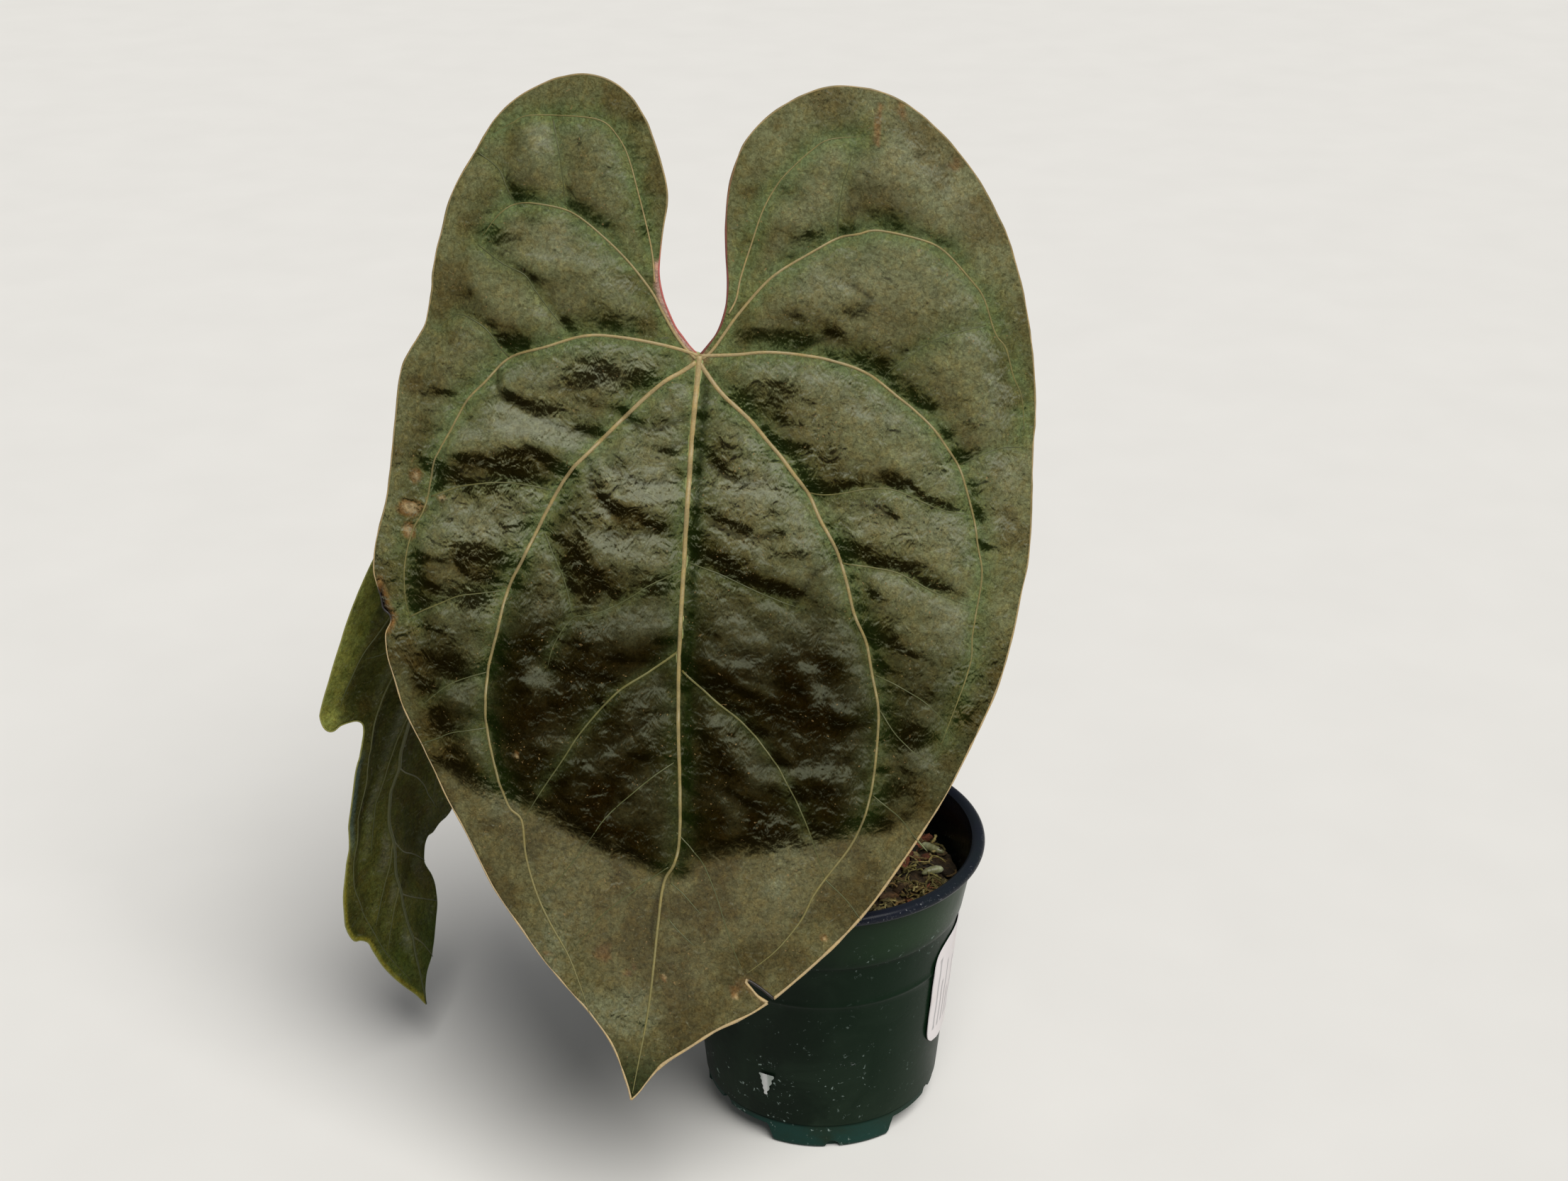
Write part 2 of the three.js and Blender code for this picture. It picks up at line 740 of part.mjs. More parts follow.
// Short tear in from the margin near the tip.
const tearMouth = [
  [34.5, 195],
  [25.2, 190],
  [32.5, 197.2],
];
const tearPoints = [];
for (const lift of [-8, 8]) {
  for (const [s, t] of tearMouth) tearPoints.push(...onBlade(s, t, lift).toArray());
}
const tear = new THREE.BufferGeometry();
tear.setAttribute("position", new THREE.Float32BufferAttribute(tearPoints, 3));
tear.setIndex([0, 2, 1, 3, 4, 5, 0, 1, 4, 0, 4, 3, 1, 2, 5, 1, 5, 4, 2, 0, 3, 2, 3, 5]);
add(
  "front_leaf_blade",
  toGeometry(toSolid(wholeBlade).subtract(toSolid(tear))),
  BLADE_GREEN,
  0.5,
);

// ---- small folded leaf -----------------------------------------------------------------
const foldedTop = -26;
const foldedTip = 168;
const foldedScale = FOLDED_LENGTH / (foldedTip - foldedTop);
const folded = {
  midrib: [
    [0, 1],
    [0, 60],
    [0, foldedTip],
  ],
  left: [
    [-12, foldedTop],
    [-21, -14],
    [-27.6, -4],
    [-32.3, 7],
    [-35.8, 20.3],
    [-38, 33],
    [-38.5, 40],
    [-35, 44.3],
    [-25, 45.6],
    [-22.4, 48.8],
    [-26.6, 57],
    [-26.5, 70],
    [-25.7, 86],
    [-27.5, 103],
    [-28.2, 112],
    [-26.5, 124],
    [-19.1, 132],
    [-14.9, 143.7],
    [-7.6, 156],
    [0, foldedTip],
  ],
  leftInner: [
    [-12, foldedTop],
    [-6, -20],
    [-4, -9],
    [0, 1],
  ],
  rightInner: [
    [14, foldedTop],
    [7, -20],
    [4, -9],
    [0, 1],
  ],
  right: [
    [14, foldedTop],
    [28, -10],
    [38, 18],
    [43, 50],
    [44, 82],
    [40, 104],
    [30, 111.5],
    [19.5, 115.6],
    [17.4, 120.2],
    [20.5, 127.3],
    [21, 132.3],
    [16.3, 143.9],
    [9.1, 152.7],
    [0, foldedTip],
  ],
};

// Sideways drift of the hanging midrib.
const foldedDrift = [
  [-40, 3],
  [0, 0],
  [50, -10],
  [82, -18],
  [96, -19],
  [120, -18],
  [144, -15],
  [170, -12],
];
// How far each half is turned out of the XZ plane, in degrees, down the midrib: the
// left half comes forward and the right half goes back, so the blade hangs edge-on.
const leftTurn = [
  [38, 50],
  [56, 66],
  [90, 68],
  [120, 60],
  [168, 55],
];
const rightTurn = [
  [90, 62],
  [115, 72],
  [168, 68],
];
const foldedHome = new THREE.Vector3(
  FOLDED_OFFSET,
  FOLDED_DEPTH,
  FOLDED_TIP_HEIGHT + foldedTip * foldedScale,
);

// A point of the folded blade: lift is measured out of the side that faces the pot.
function onFolded(s, t, lift) {
  const turn = rad(lerp(along(leftTurn, t), along(rightTurn, t), 1 / (1 + Math.exp(-s / 4))));
  return new THREE.Vector3(
    s * Math.cos(turn) + along(foldedDrift, t) + lift * Math.sin(turn),
    s * Math.sin(turn) - lift * Math.cos(turn) - 0.03 * t,
    -t,
  )
    .multiplyScalar(foldedScale)
    .add(foldedHome);
}

const foldedNet = leafNet(folded, rowsOf(foldedTop, foldedTip, 8), 6);
add(
  "rear_leaf_blade",
  thicken(foldedNet.flat, foldedNet.triangles, (s, t, side) =>
    onFolded(s, t, (side * FOLDED_THICKNESS) / 2 / foldedScale),
  ),
  FOLDED_GREEN,
  0.5,
);

// ---- stalks and knees ----------------------------------------------------------------
// A swollen joint from one point to another.
function knee(from, to, radius) {
  const length = from.distanceTo(to);
  const shape = revolve(
    [
      [0, 0],
      [radius * 0.75, 0],
      [radius, length * 0.3],
      [radius, length * 0.7],
      [radius * 0.7, length],
      [0, length],
    ],
    14,
  );
  const turn = new THREE.Quaternion().setFromUnitVectors(
    new THREE.Vector3(0, 0, 1),
    to.clone().sub(from).normalize(),
  );
  return shape.applyQuaternion(turn).translate(from.x, from.y, from.z);
}

// A stalk from the top of the stem, by way of the points between, to a knee.
function stalk(foot, between, kneeFoot, radius) {
  const previous = between[between.length - 1];
  const back = previous.clone().sub(kneeFoot).normalize();
  const end = kneeFoot.clone().addScaledVector(back, GAP + 0.6 * radius);
  return bar([foot, ...between, end], radius, 10, 22);
}

const crown = stemTop + 2 * GAP;
const bladeKneeTop = onBlade(-1, 8, -BLADE_THICKNESS / 2 - GAP - 0.9 * KNEE_RADIUS);
const bladeKneeFoot = bladeKneeTop
  .clone()
  .add(new THREE.Vector3(0, 0.5, -0.87).multiplyScalar(KNEE_LENGTH));
add("front_geniculum", knee(bladeKneeFoot, bladeKneeTop, KNEE_RADIUS), KNEE_GREEN, 0.55);
add(
  "front_petiole",
  stalk(
    new THREE.Vector3(1.5, 1, crown),
    [
      new THREE.Vector3(1.5, 1.2, crown + 14),
      bladeKneeFoot.clone().lerp(new THREE.Vector3(0, 24, crown), 0.5),
      bladeKneeFoot.clone().add(new THREE.Vector3(2, 5, -26)),
    ],
    bladeKneeFoot,
    PETIOLE_RADIUS,
  ),
  PETIOLE_GREEN,
  0.5,
);

const foldedKneeTop = onFolded(0, 6, FOLDED_THICKNESS / 2 + GAP + KNEE_RADIUS);
const foldedKneeFoot = foldedKneeTop
  .clone()
  .add(new THREE.Vector3(8, -1, 8).normalize().multiplyScalar(KNEE_LENGTH * 0.8));
add(
  "rear_geniculum",
  knee(foldedKneeFoot, foldedKneeTop, KNEE_RADIUS * 0.8),
  KNEE_GREEN,
  0.55,
);
add(
  "rear_petiole",
  stalk(
    new THREE.Vector3(-4.2, 2.5, crown),
    [
      new THREE.Vector3(-5, 3.2, crown + 10),
      new THREE.Vector3(0.26 * foldedKneeFoot.x, 10, lerp(crown, foldedKneeFoot.z, 0.66)),
      new THREE.Vector3(0.62 * foldedKneeFoot.x, 12, lerp(crown, foldedKneeFoot.z, 1.03)),
      foldedKneeFoot.clone().add(new THREE.Vector3(14, 1, 4)),
    ],
    foldedKneeFoot,
    FOLDED_PETIOLE_RADIUS,
  ),
  PETIOLE_GREEN,
  0.5,
);

export default group;
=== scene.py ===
"""A potted anthurium: the looks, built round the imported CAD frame.

Tables and helper functions work in millimetres in the row frame; make() turns them into metres.
"""

import math

import bmesh
import bpy
import numpy as np
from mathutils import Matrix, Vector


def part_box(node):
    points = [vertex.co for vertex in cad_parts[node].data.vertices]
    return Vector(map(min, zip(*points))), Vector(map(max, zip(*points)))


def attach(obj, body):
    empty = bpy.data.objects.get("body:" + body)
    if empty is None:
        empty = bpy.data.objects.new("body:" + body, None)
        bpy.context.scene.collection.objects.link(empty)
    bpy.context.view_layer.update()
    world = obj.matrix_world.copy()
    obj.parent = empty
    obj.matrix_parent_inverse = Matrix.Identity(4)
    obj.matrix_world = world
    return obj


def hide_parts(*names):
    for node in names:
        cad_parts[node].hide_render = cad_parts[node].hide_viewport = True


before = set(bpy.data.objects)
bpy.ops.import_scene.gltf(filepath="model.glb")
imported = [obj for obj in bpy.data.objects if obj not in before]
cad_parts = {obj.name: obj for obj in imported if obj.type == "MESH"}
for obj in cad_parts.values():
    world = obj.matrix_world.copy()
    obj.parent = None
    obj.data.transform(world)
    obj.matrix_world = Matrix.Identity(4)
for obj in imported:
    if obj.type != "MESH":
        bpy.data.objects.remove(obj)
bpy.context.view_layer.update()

# Sizes shared with the CAD model, in mm.
POT_HEIGHT = 102
RIM_RADIUS = 54
LIP_HEIGHT = 3.6
LIP_WIDTH = 4.2
WALL = 1.3
FOOT_RADIUS = 39.2
FOOT_HEIGHT = 10
BASE_RADIUS = 40.2
STEP_Z = 78
BODY_TOP_RADIUS = 46.3
STEP_WIDTH = 1.2
RING_Z = 62
RAISE = 6.5
FOOT_TURN = 6
GAP_HALF_ANGLE = 28
MIX_Z = 82
MIX_RADIUS = 46.2


# ---- numbers ------------------------------------------------------------------------
def srgb(r, g, b):
    """Linear colour from 8-bit screen values."""
    return tuple(((c / 255 + 0.055) / 1.055) ** 2.4 if c > 10 else c / 3294.6 for c in (r, g, b))


def smooth(low, high, x):
    x = np.clip((np.asarray(x, float) - low) / (high - low), 0, 1)
    return x * x * (3 - 2 * x)


def layer(base, colour, mask):
    """Colours with another laid over them by a mask."""
    return base + (np.asarray(colour) - base) * np.clip(mask, 0, 1)[:, None]


def paint(ground, count, coats):
    """Colours of some points: an even ground with coats over it, each an 8-bit colour and its mask."""
    tint = np.tile(srgb(*ground), (count, 1))
    for colour, mask in coats:
        tint = layer(tint, srgb(*colour), mask)
    return tint


def bell(x, wide):
    return np.exp(-((x / wide) ** 2))


def smooth_line(points, step=1.0):
    """Evenly spaced points on a smooth curve through the given ones."""
    p = np.asarray(points, float)
    e = np.vstack([2 * p[0] - p[1], p, 2 * p[-1] - p[-2]])
    u = np.linspace(0, 1, 12, endpoint=False)[:, None]
    out = []
    for a, b, c, d in zip(e[:-3], e[1:-2], e[2:-1], e[3:]):
        curve = 2 * b + (c - a) * u + (2 * a - 5 * b + 4 * c - d) * u**2
        out.append((curve + (3 * b - a - 3 * c + d) * u**3) / 2)
    out = np.vstack([*out, p[-1:]])
    gone = np.r_[0, np.cumsum(np.linalg.norm(np.diff(out, axis=0), axis=1))]
    at = np.linspace(0, gone[-1], max(2, int(round(gone[-1] / step)) + 1))
    return np.column_stack([np.interp(at, gone, column) for column in out.T])


def distance(points, lines):
    """Distance from each flat point to the nearest of several lines."""
    best = np.full(len(points), 1e9)
    for line in lines:
        for p, q in zip(line[:-1], line[1:]):
            d = q - p
            k = np.clip(((points - p) @ d) / (d @ d), 0, 1)
            best = np.minimum(best, np.hypot(points[:, 0] - p[0] - k * d[0], points[:, 1] - p[1] - k * d[1]))
    return best


def value_noise(shape, cell, seed, wide=1.0):
    """Smooth noise from -1 to 1 on a raster, with lumps of the given number of steps, widened across."""
    grid = np.random.default_rng(seed).uniform(-1, 1, (int(shape[0] / cell) + 3, int(shape[1] / cell) + 3))
    y, x = np.arange(shape[0]) / cell, np.arange(shape[1]) / cell / wide
    j, i = y.astype(int), x.astype(int)
    fy, fx = ((y - j) ** 2 * (3 - 2 * (y - j)))[:, None], ((x - i) ** 2 * (3 - 2 * (x - i)))[None]
    low = grid[np.ix_(j, i)] * (1 - fx) + grid[np.ix_(j, i + 1)] * fx
    high = grid[np.ix_(j + 1, i)] * (1 - fx) + grid[np.ix_(j + 1, i + 1)] * fx
    return low * (1 - fy) + high * fy


def blur(raster, sigma):
    reach = int(3 * sigma) + 1
    kernel = np.exp(-((np.arange(-reach, reach + 1) / sigma) ** 2) / 2)
    kernel /= kernel.sum()
    for axis in (0, 1):
        wide = np.pad(raster, [(reach, reach) if a == axis else (0, 0) for a in (0, 1)], mode="edge")
        raster = np.apply_along_axis(lambda row: np.convolve(row, kernel, "valid"), axis, wide)
    return raster


def turn(axis, degrees):
    """Rotation matrix about x, y or z."""
    c, s = math.cos(math.radians(degrees)), math.sin(math.radians(degrees))
    i, j = [(1, 2), (2, 0), (0, 1)]["xyz".index(axis)]
    m = np.eye(3)
    m[i, i] = m[j, j] = c
    m[i, j], m[j, i] = -s, s
    return m


# ---- meshes --------------------------------------------------------------------------
def make(name, verts, faces, material, slot, stands_for=(), tint=None, values=None, sharp=None):
    """A piece of the object from mm coordinates, with colours and masks on its points."""
    mesh = bpy.data.meshes.new(name)
    mesh.from_pydata((np.asarray(verts, float) / 1000).tolist(), [], [[int(i) for i in f] for f in faces])
    mesh.update()
    if tint is not None:
        rgba = np.ones((len(verts), 4), np.float32)
        rgba[:, :3] = tint
        mesh.attributes.new("tint", "FLOAT_COLOR", "POINT").data.foreach_set("color", rgba.ravel())
    for key, value in (values or {}).items():
        mesh.attributes.new(key, "FLOAT", "POINT").data.foreach_set("value", np.asarray(value, np.float32))
    mesh.shade_smooth()
    if sharp:
        mesh.set_sharp_from_angle(angle=math.radians(sharp))
    mesh.materials.append(material)
    piece = bpy.data.objects.new(name, mesh)
    bpy.context.scene.collection.objects.link(piece)
    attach(piece, "root")
    if stands_for:
        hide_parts(*stands_for)


class Heap:
    """Several bodies gathered into one mesh."""

    def __init__(self):
        self.verts, self.faces, self.tint, self.count = [], [], [], 0

    def add(self, verts, faces, tint):
        self.faces += [[i + self.count for i in f] for f in faces]
        self.verts.append(verts)
        self.tint.append(np.broadcast_to(tint, (len(verts), 3)))
        self.count += len(verts)

    def make(self, name, material, slot, **more):
        make(name, np.vstack(self.verts), self.faces, material, slot, tint=np.vstack(self.tint), **more)


def rings(loops):
    """Faces joining closed rings of points, with a fan at each end. Returns points and faces."""
    count, size = len(loops), len(loops[0])
    verts = np.vstack([*loops, loops[0].mean(0)[None], loops[-1].mean(0)[None]])
    faces = []
    for j in range(count - 1):
        for i in range(size):
            k = (i + 1) % size
            faces.append([j * size + i, j * size + k, (j + 1) * size + k, (j + 1) * size + i])
    first, last = count * size, count * size + 1
    for i in range(size):
        k = (i + 1) % size
        faces.append([first, k, i])
        faces.append([last, (count - 1) * size + i, (count - 1) * size + k])
    return verts, faces


def ring(angle, radius, z):
    """Points round the pot's axis, their angle counted from the front."""
    return np.column_stack(np.broadcast_arrays(radius * np.sin(angle), -radius * np.cos(angle), z))


def tube(path, radii, sides, across=None, flat=1.0):
    """A round or flattened bar along a line; across fixes the direction of its width."""
    path = np.asarray(path, float)
    radii = np.broadcast_to(radii, len(path))
    ahead = np.gradient(path, axis=0)
    ahead /= np.linalg.norm(ahead, axis=1)[:, None]
    if across is None:
        side, across = np.cross(ahead[0], [0.31, 0.2, 0.93]), []
        for a in ahead:
            side = side - a * (side @ a)
            side /= np.linalg.norm(side)
            across.append(side)
        across = np.array(across)
    up = np.cross(ahead, across)
    angle = np.arange(sides) * 2 * math.pi / sides
    wide, high = np.cos(angle)[None, :, None], np.sin(angle)[None, :, None]
    offsets = across[:, None] * wide + up[:, None] * high * flat
    return rings(list(path[:, None] + offsets * radii[:, None, None]))


def cube_net(cuts):
    """Points from -1 to 1 and faces of a cube whose sides are divided into a grid."""
    bm = bmesh.new()
    bmesh.ops.create_cube(bm, size=2)
    bmesh.ops.subdivide_edges(bm, edges=bm.edges[:], cuts=cuts, use_grid_fill=True)
    verts = np.array([v.co for v in bm.verts], float)
    faces = [[v.index for v in f.verts] for f in bm.faces]
    bm.free()
    return verts, faces


COARSE, FINE = cube_net(2), cube_net(7)


def chunk(net, half, rng, power=5, rough=0.16):
    """An irregular lump about the size of the half lengths."""
    verts, faces = net
    q = verts / (np.abs(verts) ** power).sum(1)[:, None] ** (1 / power)
    bend = np.zeros(len(q))
    for wave in (2.2, 4.5, 9):
        bend += np.sin(q @ rng.normal(0, wave, 3) + rng.uniform(0, 6)) * 2.2 / wave
    q = q * (1 + rough * bend[:, None] * 0.6)
    q[:, 0] *= 1 + 0.25 * rng.uniform(-1, 1) * q[:, 1]
    q[:, 1] *= 1 + 0.3 * rng.uniform(-1, 1) * q[:, 0]
    q[:, 2] += 0.25 * rng.uniform(-1, 1) * q[:, 0]
    return q * half, faces


# ---- finishes --------------------------------------------------------------------------
class Finish:
    """A procedural material: short calls add nodes that end in one Principled shader."""

    def __init__(self, name, **sockets):
        self.material = bpy.data.materials.new(name)
        self.material.use_nodes = True
        self.tree = self.material.node_tree
        self.shader = self.tree.nodes["Principled BSDF"]
        self.place = self.node("TexCoord").outputs["Object"]
        for key, value in sockets.items():
            self.put(key.replace("_", " "), value)

    def node(self, kind, **settings):
        made = self.tree.nodes.new("ShaderNode" + kind)
        for key, value in settings.items():
            setattr(made, key, value)
        return made

    def feed(self, socket, value):
        if isinstance(value, bpy.types.NodeSocket):
            self.tree.links.new(value, socket)
        elif isinstance(value, tuple):
            socket.default_value = (*value, 1)[: len(socket.default_value)]
        else:
            socket.default_value = value

    def put(self, name, value):
        self.feed(self.shader.inputs[name], value)

    def stretched(self, x, y, z, shift=(0, 0, 0)):
        made = self.node("Mapping")
        self.feed(made.inputs["Vector"], self.place)
        made.inputs["Scale"].default_value = (x, y, z)
        made.inputs["Location"].default_value = [v * k / 1000 for v, k in zip(shift, (x, y, z))]
        return made.outputs["Vector"]

    def noise(self, mm, detail=3, rough=0.55, twist=0.0, place=None):
        """Noise with lumps about this many millimetres across."""
        made = self.node("TexNoise")
        self.feed(made.inputs["Vector"], place or self.place)
        made.inputs["Scale"].default_value = 1000 / mm
        made.inputs["Detail"].default_value = detail
        made.inputs["Roughness"].default_value = rough
        made.inputs["Distortion"].default_value = twist
        return made.outputs["Fac"]

    def cells(self, mm, feature):
        """Distances in a net of cells about this many millimetres across."""
        made = self.node("TexVoronoi", feature=feature)
        self.feed(made.inputs["Vector"], self.place)
        made.inputs["Scale"].default_value = 1000 / mm
        return made.outputs["Distance"]

    def mask(self, name):
        return self.node("Attribute", attribute_name=name).outputs["Fac"]

    def colour(self):
        return self.node("Attribute", attribute_name="tint").outputs["Color"]

    def ramp(self, value, low, high, start=0.0, end=1.0):
        made = self.node("MapRange", interpolation_type="SMOOTHSTEP")
        keys = ("Value", "From Min", "From Max", "To Min", "To Max")
        for key, number in zip(keys, (value, low, high, start, end)):
            self.feed(made.inputs[key], number)
        return made.outputs["Result"]

    def math(self, how, a, b=0.0):
        made = self.node("Math", operation=how)
        self.feed(made.inputs[0], a)
        self.feed(made.inputs[1], b)
        return made.outputs[0]

    def mix(self, share, a, b, how="MIX"):
        made = self.node("Mix", data_type="RGBA", blend_type=how)
        self.feed(made.inputs["Factor"], share)
        self.feed(made.inputs[6], a)
        self.feed(made.inputs[7], b)
        return made.outputs[2]

    def bump(self, height, mm, under=None):
        made = self.node("Bump")
        made.inputs["Distance"].default_value = mm / 1000
        made.inputs["Strength"].default_value = 1
        self.feed(made.inputs["Height"], height)
        if under is not None:
            self.feed(made.inputs["Normal"], under)
        return made.outputs["Normal"]


def leafy(name, rough, grain, freckle):
    """Leaf tissue: painted colour with broken patches of painted shade and shine, a painted emboss, fibres, freckles
    and a net of veinlets.
    """
    f = Finish(name)
    fibre = f.noise(0.8, 5, 0.8, 0.3)
    streak = f.noise(1.5, 6, 0.8, 0.6, f.stretched(1, 1, 0.45))
    lump = f.noise(3.2, 7, 0.68, 0.5)
    crease = f.noise(1.5, 6, 0.72, 0.8)
    net = f.cells(4.2, "DISTANCE_TO_EDGE")
    mottled = f.mix(f.ramp(lump, 0.4, 0.66, 0.0, 0.75), f.colour(), (1.16, 0.98, 0.76), "MULTIPLY")
    # Painted shade in the small creases of the crease bump
    painted_crease_shade = f.mix(f.ramp(crease, 0.38, 0.58, 0.65, 0.0), mottled, (0.45, 0.42, 0.34), "MULTIPLY")
    lined = f.mix(f.ramp(net, 0.0, 0.04, 0.35, 0.0), painted_crease_shade, (0.5, 0.5, 0.4), "MULTIPLY")
    # Painted emboss: one noise read twice, a little apart, gives painted light and shade on small wrinkles
    lit = f.noise(5, 7, 0.66, 0.4, f.stretched(1, 0.7, 1, (0, -0.35, -0.6)))
    unlit = f.noise(5, 7, 0.66, 0.4, f.stretched(1, 0.7, 1))
    painted_emboss = f.math("MULTIPLY", f.math("MULTIPLY", f.math("SUBTRACT", lit, unlit), 9.0), f.mask("relief"))
    # Painted shade where the shade mask and the painted emboss are dark
    dark = f.ramp(f.math("SUBTRACT", f.mask("shade"), painted_emboss), 0.08, 1.05)
    shaded = f.mix(f.math("MULTIPLY", dark, 0.93), lined, f.mix(f.mask("green"), srgb(22, 17, 3), srgb(28, 40, 11)))
    # Painted highlight and sheen: pale grey-green where the shine mask and the painted emboss are high, dimmer in the
    # painted dark zone
    bright = f.ramp(f.math("ADD", f.mask("shine"), painted_emboss), 0.12, 1.1)
    painted_sheen_colour = f.mix(f.mask("deep"), srgb(136, 140, 116), srgb(104, 108, 86))
    painted_sheen = f.mix(f.math("MULTIPLY", bright, f.ramp(f.mask("deep"), 0.0, 1.0, 0.64, 0.5)), shaded, painted_sheen_colour)
    light = f.mix(f.ramp(streak, 0.5, 0.68, 0.0, 0.45), painted_sheen, (1.9, 1.92, 1.85), "MULTIPLY")
    grained = f.mix(f.ramp(fibre, 0.38, 0.6, 0.5, 0.0), light, (0.45, 0.43, 0.36), "MULTIPLY")
    spots = f.math("MULTIPLY", f.ramp(f.noise(1.0, 2, 0.5), 0.68, 0.74), f.ramp(f.noise(14, 2), 0.42, 0.6))
    f.put("Base Color", f.mix(f.math("MULTIPLY", spots, freckle), grained, srgb(150, 124, 82)))
    f.put("Roughness", f.ramp(streak, 0.3, 0.7, rough - 0.08, rough + 0.1))
    level = f.math("ADD", f.mask("gloss"), f.math("MULTIPLY", bright, 0.28))
    f.put("Specular IOR Level", f.ramp(level, 0.0, 1.0, 0.0, 0.9))
    first = f.bump(f.ramp(net, 0.0, 0.1), 0.08 * grain)
    second = f.bump(crease, 0.5 * grain, f.bump(lump, 0.9 * grain, first))
    f.put("Normal", f.bump(fibre, 0.2 * grain, f.bump(streak, 0.25 * grain, second)))
    return f.material


def plain_tissue(name, rough, mm=0.8, deep=0.1, gloss=0.5, sheen=0.0):
    """Stalks, veins and roots: painted colour with streaks and small pits."""
    f = Finish(name, Specular_IOR_Level=gloss, Sheen_Weight=sheen)
    grain = f.noise(mm, 4, 0.6, 0.4)
    blotch = f.noise(mm * 6, 3, 0.6)
    tone = f.mix(f.ramp(grain, 0.35, 0.65, 0.45, 0.0), f.colour(), (0.5, 0.48, 0.42), "MULTIPLY")
    f.put("Base Color", f.mix(f.ramp(blotch, 0.4, 0.7, 0.0, 0.5), tone, (1.3, 1.2, 0.85), "MULTIPLY"))
    f.put("Roughness", f.ramp(grain, 0.3, 0.7, rough - 0.08, rough + 0.1))
    f.put("Normal", f.bump(grain, deep))
    return f.material


def pot_plastic():
    f = Finish("pot_plastic", Specular_IOR_Level=0.07)
    base = f.colour()
    cloud = f.noise(22, 5, 0.62, 0.5)
    fine = f.noise(1.6, 4, 0.7)
    dusty = f.mix(f.math("MULTIPLY", f.mask("dust"), f.ramp(cloud, 0.35, 0.7)), base, srgb(28, 42, 30))
    drops = f.ramp(f.noise(1.7, 3, 0.6, 0.4), 0.62, 0.7)
    patch = f.ramp(f.noise(8, 3), 0.47, 0.6)
    specks = f.math("MULTIPLY", f.math("MULTIPLY", drops, patch), f.mask("lime"))
    rubbed = f.math("MULTIPLY", f.ramp(f.noise(1.3, 5, 0.7, 1.5), 0.6, 0.72), f.mask("scuff"))
    limed = f.mix(specks, dusty, srgb(150, 168, 160))
    f.put("Base Color", f.mix(rubbed, limed, srgb(178, 182, 184)))
    dull = f.math("ADD", f.ramp(cloud, 0.3, 0.75, 0.2, 0.34), f.math("MULTIPLY", f.mask("dust"), 0.16))
    f.put("Roughness", f.math("ADD", dull, f.math("MULTIPLY", specks, 0.25)))
    peel = f.bump(f.noise(1.9, 2, 0.5), 0.03)
    grainy = f.bump(fine, 0.02, peel)
    f.put("Normal", f.bump(f.math("ADD", specks, rubbed), 0.06, grainy))
    return f.material


def paper():
    f = Finish("label_paper", Specular_IOR_Level=0.3)
    fibre = f.noise(0.5, 4, 0.7)
    stain = f.noise(9, 4, 0.6)
    tone = f.mix(f.ramp(fibre, 0.35, 0.65, 0.12, 0.0), f.colour(), (0.7, 0.7, 0.7), "MULTIPLY")
    f.put("Base Color", f.mix(f.ramp(stain, 0.5, 0.75, 0.0, 0.35), tone, (0.9, 0.84, 0.78), "MULTIPLY"))
    f.put("Roughness", f.ramp(stain, 0.3, 0.7, 0.5, 0.62))
    f.put("Normal", f.bump(fibre, 0.03, f.bump(f.noise(5, 2), 0.12)))
    return f.material


def crumb(name, mm, deep, rough=0.85):
    """Bark, moss and compost."""
    f = Finish(name, Specular_IOR_Level=0.25)
    grain = f.noise(mm, 6, 0.7, 0.8, f.stretched(1, 1, 2.4))
    blotch = f.noise(mm * 3.5, 3, 0.6)
    tone = f.mix(f.ramp(grain, 0.35, 0.62, 0.85, 0.0), f.colour(), (0.22, 0.2, 0.18), "MULTIPLY")
    f.put("Base Color", f.mix(f.ramp(blotch, 0.45, 0.7, 0.0, 0.7), tone, (1.7, 1.45, 1.15), "MULTIPLY"))
    f.put("Roughness", f.ramp(grain, 0.3, 0.7, rough - 0.1, rough + 0.1))
    f.put("Normal", f.bump(grain, deep))
    return f.material


VELVET = leafy("blade_velvet", 0.38, 1.0, 0.7)
OLD_BLADE = leafy("old_blade", 0.45, 0.6, 0.3)
VEIN = plain_tissue("vein", 0.5, 0.5, 0.05)
STALK = plain_tissue("stalk", 0.42, 1.1, 0.06, 0.4)
STEM = plain_tissue("stem_tissue", 0.62, 1.4, 0.3)
ROOT = plain_tissue("root", 0.45, 0.6, 0.06, sheen=0.1)
BARK = crumb("bark", 1.4, 0.5)
MOSS = crumb("moss", 0.7, 0.15)
COMPOST = crumb("compost", 1.8, 0.9, 0.9)
PLASTIC = pot_plastic()
PAPER = paper()


